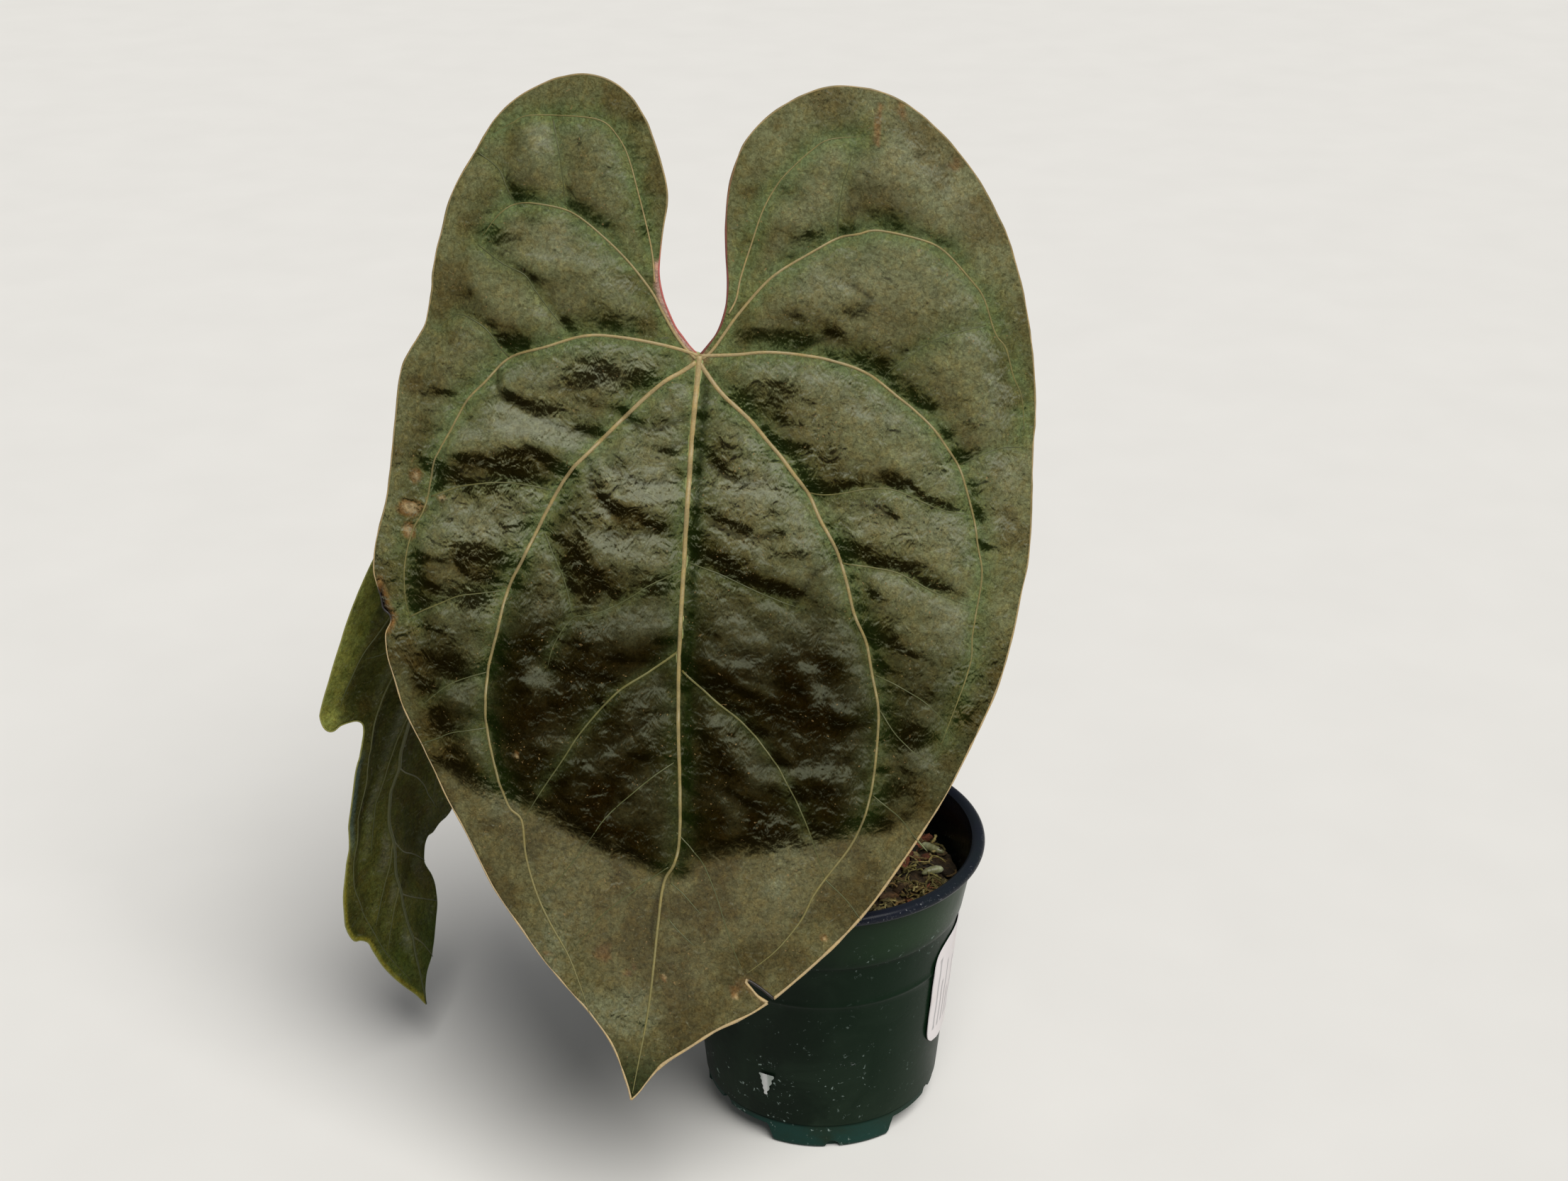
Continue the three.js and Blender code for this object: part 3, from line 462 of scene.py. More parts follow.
# ---- leaves ------------------------------------------------------------------------------
class Blade:
    """A leaf on a flat chart: s runs across, t down the midrib; place lays it in space."""

    def __init__(self, edges, corners, place, step, thickness):
        self.place, self.step, self.thickness = place, step, thickness
        self.loop = np.vstack([smooth_line(e, 0.7)[:-1] for e in edges])
        low, high = self.loop.min(0) - 3 * step, self.loop.max(0) + 3 * step
        self.s = np.arange(low[0], high[0], step)
        self.t = np.arange(low[1], high[1], step)
        self.S, self.T = np.meshgrid(self.s, self.t)
        self.nodes = np.column_stack([self.S.ravel(), self.T.ravel()])
        self.margin = distance(self.nodes, [np.vstack([self.loop, self.loop[:1]])[::3]]).reshape(self.S.shape)
        self.cut(corners)

    def near(self, lines, step):
        """Raster of distances to smooth lines on the chart."""
        return distance(self.nodes, [smooth_line(line, step) for line in lines]).reshape(self.S.shape)

    def reach(self, line):
        """Distances of the blade's points from a smooth line."""
        return distance(self.points, [smooth_line(line, 1)])

    def noise(self, mm, seed, wide=1.0):
        return value_noise(self.S.shape, mm / self.step, seed, wide)

    def quilt(self, cell, seed, wide=1.0):
        """Raster of how far each spot lies from the creases between irregular pillows."""
        rng = np.random.default_rng(seed)
        nodes = self.nodes / [wide, 1]
        low = nodes.min(0) - cell
        count = np.ceil((nodes.max(0) - low) / cell).astype(int) + 2
        seeds = rng.uniform(0.05, 0.95, (count[1], count[0], 2))
        home = np.floor((nodes - low) / cell).astype(int)
        first, second = np.full(len(home), 1e9), np.full(len(home), 1e9)
        for dj in (-1, 0, 1):
            for di in (-1, 0, 1):
                i, j = np.clip(home[:, 0] + di, 0, count[0] - 1), np.clip(home[:, 1] + dj, 0, count[1] - 1)
                gap = np.hypot(*(low + (np.stack([i, j], 1) + seeds[j, i]) * cell - nodes).T)
                second = np.minimum(second, np.maximum(first, gap))
                first = np.minimum(first, gap)
        return (second - first).reshape(self.S.shape)

    def read(self, raster, s, t):
        x = np.clip((np.asarray(s) - self.s[0]) / self.step, 0, len(self.s) - 1.001)
        y = np.clip((np.asarray(t) - self.t[0]) / self.step, 0, len(self.t) - 1.001)
        i, j = x.astype(int), y.astype(int)
        fx, fy = x - i, y - j
        top = raster[j, i] * (1 - fx) + raster[j, i + 1] * fx
        return top * (1 - fy) + (raster[j + 1, i] * (1 - fx) + raster[j + 1, i + 1] * fx) * fy

    def at(self, raster):
        """A raster's values at the blade's points."""
        return self.read(raster, *self.points.T)

    def cut(self, corners):
        """Keeps the chart's cells that lie inside the outline and fits their edge to it."""
        a, b = self.loop, np.roll(self.loop, -1, 0)
        centre_s, centre_t = self.s[:-1] + self.step / 2, self.t[:-1] + self.step / 2
        keep = np.zeros((len(centre_t), len(centre_s)), bool)
        for row, level in enumerate(centre_t):
            hit = (a[:, 1] > level) != (b[:, 1] > level)
            p, q = a[hit], b[hit]
            x = p[:, 0] + (level - p[:, 1]) * (q[:, 0] - p[:, 0]) / (q[:, 1] - p[:, 1])
            keep[row] = (x[:, None] > centre_s).sum(0) % 2 == 1
        j, i = np.nonzero(keep)
        wide = len(self.s)
        quads = np.stack([j * wide + i, (j + 1) * wide + i, (j + 1) * wide + i + 1, j * wide + i + 1], 1)
        used, quads = np.unique(quads, return_inverse=True)
        quads = quads.reshape(-1, 4)
        points = self.nodes[used].copy()
        edges = np.vstack([quads[:, [k, (k + 1) % 4]] for k in range(4)])
        size = len(points)
        code, back = edges[:, 0] * size + edges[:, 1], edges[:, 1] * size + edges[:, 0]
        rim = edges[~np.isin(code, back)]
        outer = np.unique(rim)
        q = points[outer]
        best, spot = np.full(len(q), 1e9), q.copy()
        for p0, p1 in zip(a, b):
            d = p1 - p0
            k = np.clip(((q - p0) @ d) / max(d @ d, 1e-9), 0, 1)
            on = p0 + k[:, None] * d
            gap = np.hypot(*(q - on).T)
            closer = gap < best
            best[closer], spot[closer] = gap[closer], on[closer]
        points[outer] = spot
        for corner in corners:
            points[outer[np.argmin(np.hypot(*(points[outer] - corner).T))]] = corner
        fixed = np.zeros(size, bool)
        fixed[outer] = True
        soft = ~fixed & (self.read(self.margin, *points.T) < 3 * self.step)
        for _ in range(4):
            total, count = np.zeros((size, 2)), np.zeros(size)
            np.add.at(total, edges[:, 0], points[edges[:, 1]])
            np.add.at(total, edges[:, 1], points[edges[:, 0]])
            np.add.at(count, edges.ravel(), 1)
            points[soft] = total[soft] / count[soft, None]
        self.points, self.quads, self.rim = points, quads, rim

    def build(self, name, height, front, back, material, slot, stands_for, masks):
        """The blade's two faces and its edge: colours at its points, and masks as (front, back)."""
        self.height = height
        s, t = self.points.T
        lift = self.read(height, s, t)
        half = self.thickness / 2 * (0.45 + 0.55 * smooth(0, 4, self.read(self.margin, s, t)))
        verts = np.vstack([self.place(s, t, lift + half), self.place(s, t, lift - half)])
        size = len(s)
        wall = np.stack([self.rim[:, 1], self.rim[:, 0], self.rim[:, 0] + size, self.rim[:, 1] + size], 1)
        faces = np.vstack([self.quads, self.quads[:, ::-1] + size, wall]).tolist()
        values = {key: np.concatenate([np.broadcast_to(face, size) for face in pair]) for key, pair in masks.items()}
        make(name, verts, faces, material, slot, stands_for, np.vstack([front, back]), values)

    def lay(self, heap, line, width, end, first, last, side=1, flat=0.6):
        """Adds a raised vein along a chart line, narrowing from width to end; side -1 is the back."""
        path = smooth_line(line, 1.1)
        s, t = path.T
        share = np.linspace(0, 1, len(s))
        radius = (width + (end - width) * share) / 2 * np.minimum(1, 0.35 + 6 * (1 - share))
        h = self.read(self.height, s, t) + side * self.thickness / 2
        d = np.gradient(path, axis=0)
        d /= np.hypot(*d.T)[:, None]
        ds, dt = -d[:, 1] * 0.5, d[:, 0] * 0.5
        across = self.place(s + ds, t + dt, h) - self.place(s - ds, t - dt, h)
        across /= np.linalg.norm(across, axis=1)[:, None]
        verts, faces = tube(self.place(s, t, h), radius, 8, across, flat)
        if side < 0:
            faces = [f[::-1] for f in faces]
        blend = np.r_[np.repeat(share, 8), 0, 1][:, None]
        heap.add(verts, faces, first * (1 - blend) + last * blend)


def curve_walk(lean, low, high):
    """Forward and downward distance along a leaning midrib, measured from t = 0."""
    t = np.arange(low, high + 1, 1.0)
    a = np.radians(np.interp(t + 0.5, *zip(*lean)))
    forward, down = np.r_[0, np.cumsum(np.sin(a))[:-1]], np.r_[0, np.cumsum(np.cos(a))[:-1]]
    return t, forward - np.interp(0, t, forward), down - np.interp(0, t, down)


LEAN = [(-120, 14), (-40, 16), (0, 18), (120, 20), (160, 26), (200, 38), (240, 44)]
WALK = curve_walk(LEAN, -120, 260)


def place_front(s, t, lift):
    c, r = math.cos(math.radians(-3)), math.sin(math.radians(-3))
    across, length = s * c + t * r, t * c - s * r
    a = np.radians(np.interp(length, *zip(*LEAN)))
    out = lift - 0.0009 * across**2
    forward, down = np.interp(length, WALK[0], WALK[1]), np.interp(length, WALK[0], WALK[2])
    return np.stack([across - 38, -forward - out * np.cos(a) - 6, out * np.sin(a) - down + 272], -1)


DRIFT = [(-40, 3), (0, 0), (50, -10), (82, -18), (96, -19), (120, -18), (144, -15), (170, -12)]
LEFT_TURN = [(38, 50), (56, 66), (90, 68), (120, 60), (168, 55)]
RIGHT_TURN = [(90, 62), (115, 72), (168, 68)]


def place_rear(s, t, lift):
    left, right = np.interp(t, *zip(*LEFT_TURN)), np.interp(t, *zip(*RIGHT_TURN))
    a = np.radians(left + (right - left) / (1 + np.exp(-s / 4)))
    x = s * np.cos(a) + np.interp(t, *zip(*DRIFT)) + lift * np.sin(a)
    return np.stack([x - 128, s * np.sin(a) - lift * np.cos(a) - 0.03 * t + 14, 190 - t], -1)


FRONT_STEP, FRONT_THICKNESS = 0.96, 0.9
REAR_STEP, REAR_THICKNESS = 0.75, 0.8
TIP = (-7.2, 227.8)
MIDRIB = [(0, 1), (-1, 35), (-1, 98), (2, 148), (-2, 162), (-3, 175), (-4, 199), (-7, 226)]
# The margin in one round: left side up from the tip, round both lobes, down the right side to the tear.
MARGIN_UP = [(-7.2, 227.8), (-8.3, 224.5), (-10.1, 220.3), (-11.9, 216.2), (-14.1, 212.2), (-16.8, 208.5),
             (-22.5, 202.2), (-27.6, 197.5), (-32.8, 192.5), (-38, 187.3), (-45.4, 178.5), (-53.8, 168.3),
             (-57.8, 162.2), (-64.6, 150.5), (-71.2, 140.3), (-77.5, 128.5), (-81.6, 121.3), (-85.8, 113.6),
             (-88.7, 105.6), (-90.9, 99.8), (-91.9, 94.9), (-92.1, 91.3), (-90.8, 88), (-91.2, 85.8),
             (-93.2, 84), (-94.1, 80.6), (-95.5, 76.7), (-96.7, 72.3), (-96.6, 66), (-95.6, 60), (-94.2, 54),
             (-93.3, 49), (-92.5, 40.5), (-92, 32), (-91.4, 24), (-90.9, 16), (-90, 9.9), (-87.5, 4.4),
             (-85.4, 0.8), (-83.4, -3), (-82.4, -8), (-81.5, -14), (-81.4, -18.5), (-80.4, -25.8),
             (-78.7, -32.8), (-77.5, -38.8), (-75.3, -44.8), (-71.6, -51.8), (-67.8, -58.6), (-64, -65),
             (-57.3, -71.6), (-48.5, -76.6), (-43.6, -78.2), (-37.8, -79.2), (-30.8, -77.9), (-24.7, -74.1),
             (-19.6, -67.4), (-16.8, -61.4), (-14.1, -54.2), (-12.4, -48.5), (-12, -43), (-12.9, -35),
             (-13.4, -27), (-13.3, -22), (-11.8, -15.7), (-8.2, -8), (-5.3, -4.2), (-2.6, -1.2), (0, 1)]
MARGIN_DOWN = [(0, 1), (2.7, -2.7), (4.9, -6.2), (6.3, -10), (7.2, -15), (7.2, -21.5), (6.4, -29), (5.8, -38),
               (6, -47), (7.1, -53.5), (9.9, -61.8), (14.8, -68.4), (21, -73.6), (29, -78), (36, -79.9),
               (42.5, -80), (49.6, -78.9), (55.7, -76.5), (60.8, -73.6), (65, -70.4), (70.3, -65.8),
               (77.6, -58), (82.8, -50.8), (86.9, -44), (90, -38.3), (94.6, -26), (97.3, -16.5), (99.5, -6.4),
               (101.1, 4), (102, 14), (102, 24), (102.4, 34), (103, 48), (102.8, 58.5), (101.4, 68), (99.8, 80),
               (96.5, 95.5), (91.4, 109.5), (84, 127), (76.6, 141.2), (67.8, 155.8), (61.2, 165.8),
               (53.8, 175), (46.7, 182.6), (38.3, 190.8), (33.7, 195)]
TEAR = [(33.7, 195), (30, 192.4), (27.4, 190.9), (25.2, 189.9), (25, 190.8), (27, 192.8), (29, 194.8), (31.9, 196.4)]
MARGIN_END = [(31.9, 196.4), (28.1, 199.3), (23.6, 202), (16.8, 205.7), (9, 211.3), (4.8, 214.2), (1.3, 216.9),
              (-0.9, 219.4), (-3, 222.3), (-5, 225.3), (-7.2, 227.8)]
FRONT_OUTLINE = [MARGIN_UP, MARGIN_DOWN, TEAR, MARGIN_END]

MAIN = [
    [(-1, 3), (-5, 6), (-11, 10), (-20, 19), (-30, 30), (-37, 38), (-43, 49), (-50, 65), (-54.5, 75),
     (-57, 88), (-59.5, 100), (-59.5, 112), (-59, 118), (-56, 129), (-51.5, 141.5), (-47, 146), (-45, 157),
     (-41, 168), (-36, 177), (-30, 186), (-26, 194), (-22, 203)],
    [(0, 3), (5.6, 10), (10, 14), (16, 19), (21.6, 25), (26.4, 30), (30, 34.4), (34.7, 40), (39, 48),
     (43.5, 55), (46, 60.6), (48.6, 68), (51, 76), (55, 84), (57.5, 94), (60, 104), (60.4, 113), (60, 125),
     (59, 133), (57, 141), (54, 148), (48.5, 156), (44, 163), (40.5, 171), (34, 180), (27.5, 186), (25, 188)],
    [(0, 1), (-8, -1), (-22, -3), (-34, -3), (-46, 1), (-57, 5), (-64, 12.6), (-69.6, 19), (-74, 28),
     (-77, 34), (-79, 39), (-81.5, 52), (-85, 59.5), (-87, 70), (-86.5, 80), (-85, 86)],
    [(0, 1), (11, 0), (20, -1.3), (29.5, -1.1), (39, 0), (50, 3.2), (59.5, 9.5), (65, 13.4), (71, 18.5),
     (75.3, 23.7), (79.6, 29.6), (82.4, 36.4), (85.4, 45.4), (87, 53), (89, 63), (87.4, 80), (87, 91),
     (80, 115)],
    [(-1, 2), (-4.5, -1.2), (-8, -5.5), (-11.5, -11), (-15.5, -17.5), (-23, -26), (-31, -33), (-40, -39),
     (-50, -41), (-57, -40.5), (-62, -37), (-67, -30)],
    [(0.8, 2), (3.8, -1), (7, -6), (10.5, -11.5), (17, -20), (22, -25), (30, -30.5), (39, -36), (45, -37.6),
     (51, -39), (64, -37), (71, -34), (79.5, -26), (83.7, -21), (88, -10.7), (91.5, -6.5), (94.4, 1.7),
     (97.5, 8), (99, 18)],
    [(-14.5, -20), (-16, -30), (-20, -44), (-24, -56), (-27.5, -62), (-32, -66), (-40, -67), (-54, -66.5),
     (-59, -64), (-64.5, -61)],
    [(8, -12), (10, -16.5), (11, -23), (13.5, -32.5), (16.5, -43), (20.5, -51), (24.6, -56), (29.6, -61),
     (34.6, -64.5), (44, -66)],
]
MAIN_WIDTHS = [(1.7, 0.5), (1.7, 0.5), (1.3, 0.4), (1.3, 0.4), (1.05, 0.4), (1.15, 0.4), (0.6, 0.3), (0.7, 0.3)]
CROSS = [
    [(-47, -66), (-44.5, -57), (-43, -49), (-42, -41)],
    [(-69, -55), (-62.4, -50.5), (-60, -46), (-57, -40.5)],
    [(-68, -28), (-60, -23), (-53, -20), (-50, -16), (-46, -11), (-40, -4)],
    [(-57, 5), (-60, 2), (-63, -2), (-67, -5), (-73, -7), (-79, -3)],
    [(39, -36), (38.8, -42.5), (39.5, -51), (41, -57), (42, -63)],
    [(85, -13), (78, -11), (72, -9), (67, -6), (62, -2), (57, 2), (55, 5)],
    [(80, 29), (86, 26), (92, 23.5), (99, 23)],
    [(-79.6, 48.5), (-75.5, 46.7), (-70, 44.5), (-64, 43.2), (-58.7, 42.5), (-53.8, 42.4), (-49, 42.8),
     (-41, 44)],
    [(-85, 86), (-79.7, 83), (-74.7, 80.5), (-69.6, 78), (-64.7, 77), (-54.5, 75.3)],
    [(46, 60.6), (52, 61), (61, 62), (67.5, 64.3), (74, 67.5), (80.4, 70), (86.7, 72.3)],
    [(34.7, 40), (39.7, 40.3), (46, 39.2), (52, 37.7), (58, 37.2), (63, 38.2), (70, 41), (77, 43.3), (84.7, 44)],
    [(-1, 65), (-7.5, 68.5), (-12, 71), (-17, 74.7), (-23.5, 78.6), (-30, 81), (-34, 82), (-39, 90), (-41, 98)],
    [(-44, 57), (-41, 63), (-37, 71), (-34, 81)],
    [(-1, 90), (-10, 97), (-19.5, 104), (-29.5, 116.5), (-35, 126), (-41, 136), (-46.5, 146)],
    [(0, 63), (9, 65.6), (17, 68.7), (27.5, 72.7), (33.6, 74.6)],
    [(0, 96), (10, 104), (20.5, 112), (31, 124), (39.5, 139), (44.5, 151.5), (47, 157.5)],
    [(-60, 101), (-66, 103), (-72, 106), (-79, 112)],
    [(-59, 118), (-69, 120), (-75, 123), (-80, 125)],
]
CROSS_WIDTHS = {13: 0.85, 15: 0.75, 7: 0.6, 8: 0.55, 9: 0.5, 10: 0.45}
FINE_VEINS = [
    [(-1, 124.5), (-7, 129), (-15, 136.5), (-21, 143), (-25, 149.5), (-30, 157), (-36, 165.5), (-41.5, 171)],
    [(-1, 157), (-12, 166), (-20.5, 173.5), (-24.5, 179), (-30, 185)],
    [(1, 146), (8, 153), (13, 162), (17, 172), (20.5, 181), (24, 188)],
    [(0, 162), (4, 165), (10, 171)],
    [(0, 173), (4, 177), (9, 181)],
    [(60, 131), (68, 137), (74, 144), (78, 148)],
    [(47, 158), (54, 164), (59, 170)],
    [(60, 104), (66, 112), (73, 118), (80, 122)],
    [(58, 94), (66, 97), (76, 103), (84, 112)],
]
GROOVES = [
    [(-60, 9), (-60, 14), (-57, 18), (-51, 20), (-48, 22), (-42, 24), (-30, 27)],
    [(-31, 34), (-30, 42), (-27, 46), (-24, 49)],
    [(-10, 30), (-2, 27)],
    [(-25, 56), (-18, 56), (-9, 54)],
    [(-44, 13), (-38, 13), (-33, 11)],
    [(45, 60), (39, 63), (36.4, 67), (34.5, 71), (32, 75)],
    [(43, -23), (50, -19), (44.5, -13)],
    [(28.5, -3), (35, -5.5), (39.6, -7)],
    [(50.7, 41.7), (56, 44.3)],
    [(55, 41), (59.5, 46)],
    [(-22, 20), (-14, 24), (-3, 20)],
    [(-24, 36), (-14, 40), (-4, 38)],
    [(5, 33), (14, 38), (22, 37)],
    [(6, 50), (16, 54), (26, 53)],
    [(-38, 104), (-28, 100), (-20, 101)],
    [(-57, 97), (-48, 101), (-40, 99)],
    [(-30, 118), (-40, 118), (-52, 121)],
    [(-2, 108), (-12, 113), (-20, 120)],
    [(18, 96), (30, 99), (44, 104), (52, 102)],
    [(22, 124), (38, 123), (52, 121)],
    [(14, 132), (24, 137), (33, 137)],
    [(-2, 160), (-4, 170), (-5, 181)],
    [(43, 97), (45, 108), (50, 111), (58, 109)],
]


# Dead spots: middle s and t, half sizes across and down.
SPOTS = [(-84.5, 42.3, 1.7, 2.1), (-85.5, 52.5, 3.4, 2.3), (-86, 59, 1.7, 2.2), (-76, 48.5, 1.1, 0.8),
         (48, 176, 1, 0.8), (22, 195, 0.9, 0.8), (0, 191, 0.6, 0.6), (-49, 125, 0.6, 0.6), (90, 115, 1, 1)]
# Rust: middle s and t, reach.
RUST = [(-18, 186, 5.5), (-11, 189, 3), (20, 178, 3.5), (-55, 163, 2.5), (-36, 185, 2.5), (22, 192, 3), (4, 206, 2.5),
        (-38, 149.5, 2), (72, -59.5, 3), (49, -66, 2.2), (49, -71, 1.6), (55.5, -74, 2)]
# Places where the slopes shine most.
SHINE = [(10, 88, 9), (20, 84, 8), (3, 67, 4), (6, 106, 5), (45, 91, 6), (60, 94, 6), (44, 102, 4),
         (39, 124, 6), (-46, 101, 5), (-38, 95, 4), (-5, 98, 4), (-14, 105, 4), (-30, 130, 6), (-12, 45, 8),
         (-20, 52, 7), (-30, 60, 6), (-55, 24, 8), (-40, 26, 6), (24, 32, 6)]
# Painted shade patches: middle s and t, half sizes across and down, strength.
DUSK = [(-26, 8, 16, 6, 1), (18, 13, 11, 6, 0.8), (-62, 44, 12, 4, 0.8), (40, 30, 5, 9, 0.5),
        (-66, 62, 9, 3, 0.7), (-56, 38, 17, 4.5, 1), (-47, 19, 9, 3.5, 0.8), (-60, 15, 3, 8, 0.5),
        (-52, 55, 7, 2.5, 0.8), (-60, 66, 13, 3.5, 0.9), (-67, 77, 12, 4.5, 1), (-66, 100, 13, 8, 0.8),
        (-68, 122, 9, 6, 0.5), (-33, 62, 4, 12, 1), (-29, 74, 4, 7, 1), (-10, 70, 8, 3.5, 1),
        (-7, 30, 5, 1.6, 1), (-17, 53, 9, 2.2, 0.7), (-27, 42, 3, 9, 0.8), (-44, 76, 3, 6, 0.7),
        (22, -6, 13, 3.6, 0.9), (-26, -7, 9, 4, 1), (-60, -31, 9, 3.5, 0.8), (-37, -54, 5, 11, 0.45),
        (31, -36, 8, 3.5, 0.7), (46, -14, 7, 3, 0.7), (24, 9, 12, 4, 0.7), (10, 24, 6, 12, 0.45),
        (62, 52, 14, 4, 0.55), (60, 79, 14, 4, 0.6), (70, 112, 10, 8, 0.8), (68, 130, 10, 7, 0.7),
        (86, 104, 6, 12, 0.5), (30, 58, 8, 4, 0.6), (64, 8, 5, 5, 0.4), (-50, -36, 6, 3, 0.5),
        (70, -16, 9, 4, 0.4), (-22, -58, 3, 16, 0.6), (-18, -38, 3, 12, 0.6)]
# Folds: ridge line, height, half width.
FOLDS = [([(-74, 36), (-64, 31), (-52, 29), (-42, 31), (-34, 35)], 2.0, 4),
         ([(-78, 66), (-68, 62), (-58, 61), (-50, 63)], 1.6, 4), ([(-26, 43), (-14, 45), (-4, 46)], 1.3, 4),
         ([(-30, 62), (-16, 65), (-5, 64)], 1.8, 5), ([(-28, 90), (-16, 86), (-4, 83)], 2.0, 5),
         ([(3, 93), (12, 96), (24, 99), (36, 98)], 2.4, 6), ([(4, 56), (14, 60), (24, 66)], 1.3, 5),
         ([(30, 128), (38, 129), (47, 127)], 1.2, 4), ([(50, 53), (62, 54), (76, 59)], 1.0, 4),
         ([(56, 78), (66, 82), (80, 86)], 1.2, 5), ([(-57, 14), (-50, 12), (-42, 13)], 1.2, 3),
         ([(-36, 12), (-28, 14), (-20, 18)], 1.0, 3), ([(-60, -24), (-48, -22), (-36, -24)], 1.4, 5),
         ([(30, -16), (44, -19), (58, -20)], 1.4, 5), ([(64, -12), (74, -8), (84, -6)], 1.0, 5),
         ([(-50, 100), (-42, 104), (-34, 106)], 1.6, 5), ([(-12, 118), (-22, 128), (-30, 134)], 1.2, 4),
         ([(8, 112), (16, 120), (24, 130)], 1.0, 4), ([(40, 104), (48, 106), (56, 104)], 1.6, 4),
         ([(10, 14), (20, 30), (30, 44)], 0.8, 6)]
TIP_EDGE = ([-90, -50, -38, -24, -10, -3, 3, 8, 14, 38, 60, 90],
            [128, 138, 143, 150, 155, 158, 158, 153, 150, 146, 141, 134])


# Marks on the blade: dry cracks with their strength, the scorched spot, the scar by the tear, the pink edge.
CRACKS = [([(49.3, -75), (48.6, -70), (49, -64)], 0.7), ([(55.2, -76.5), (56.2, -72)], 0.5)]
BURN = (-92.5, 82)
TEAR_SCAR = [(25, 190), (28, 193.5), (31, 196)]
PINK_EDGE = [(-13.6, -25), (-12, -16), (-5.5, -4.4), (0, 1)]


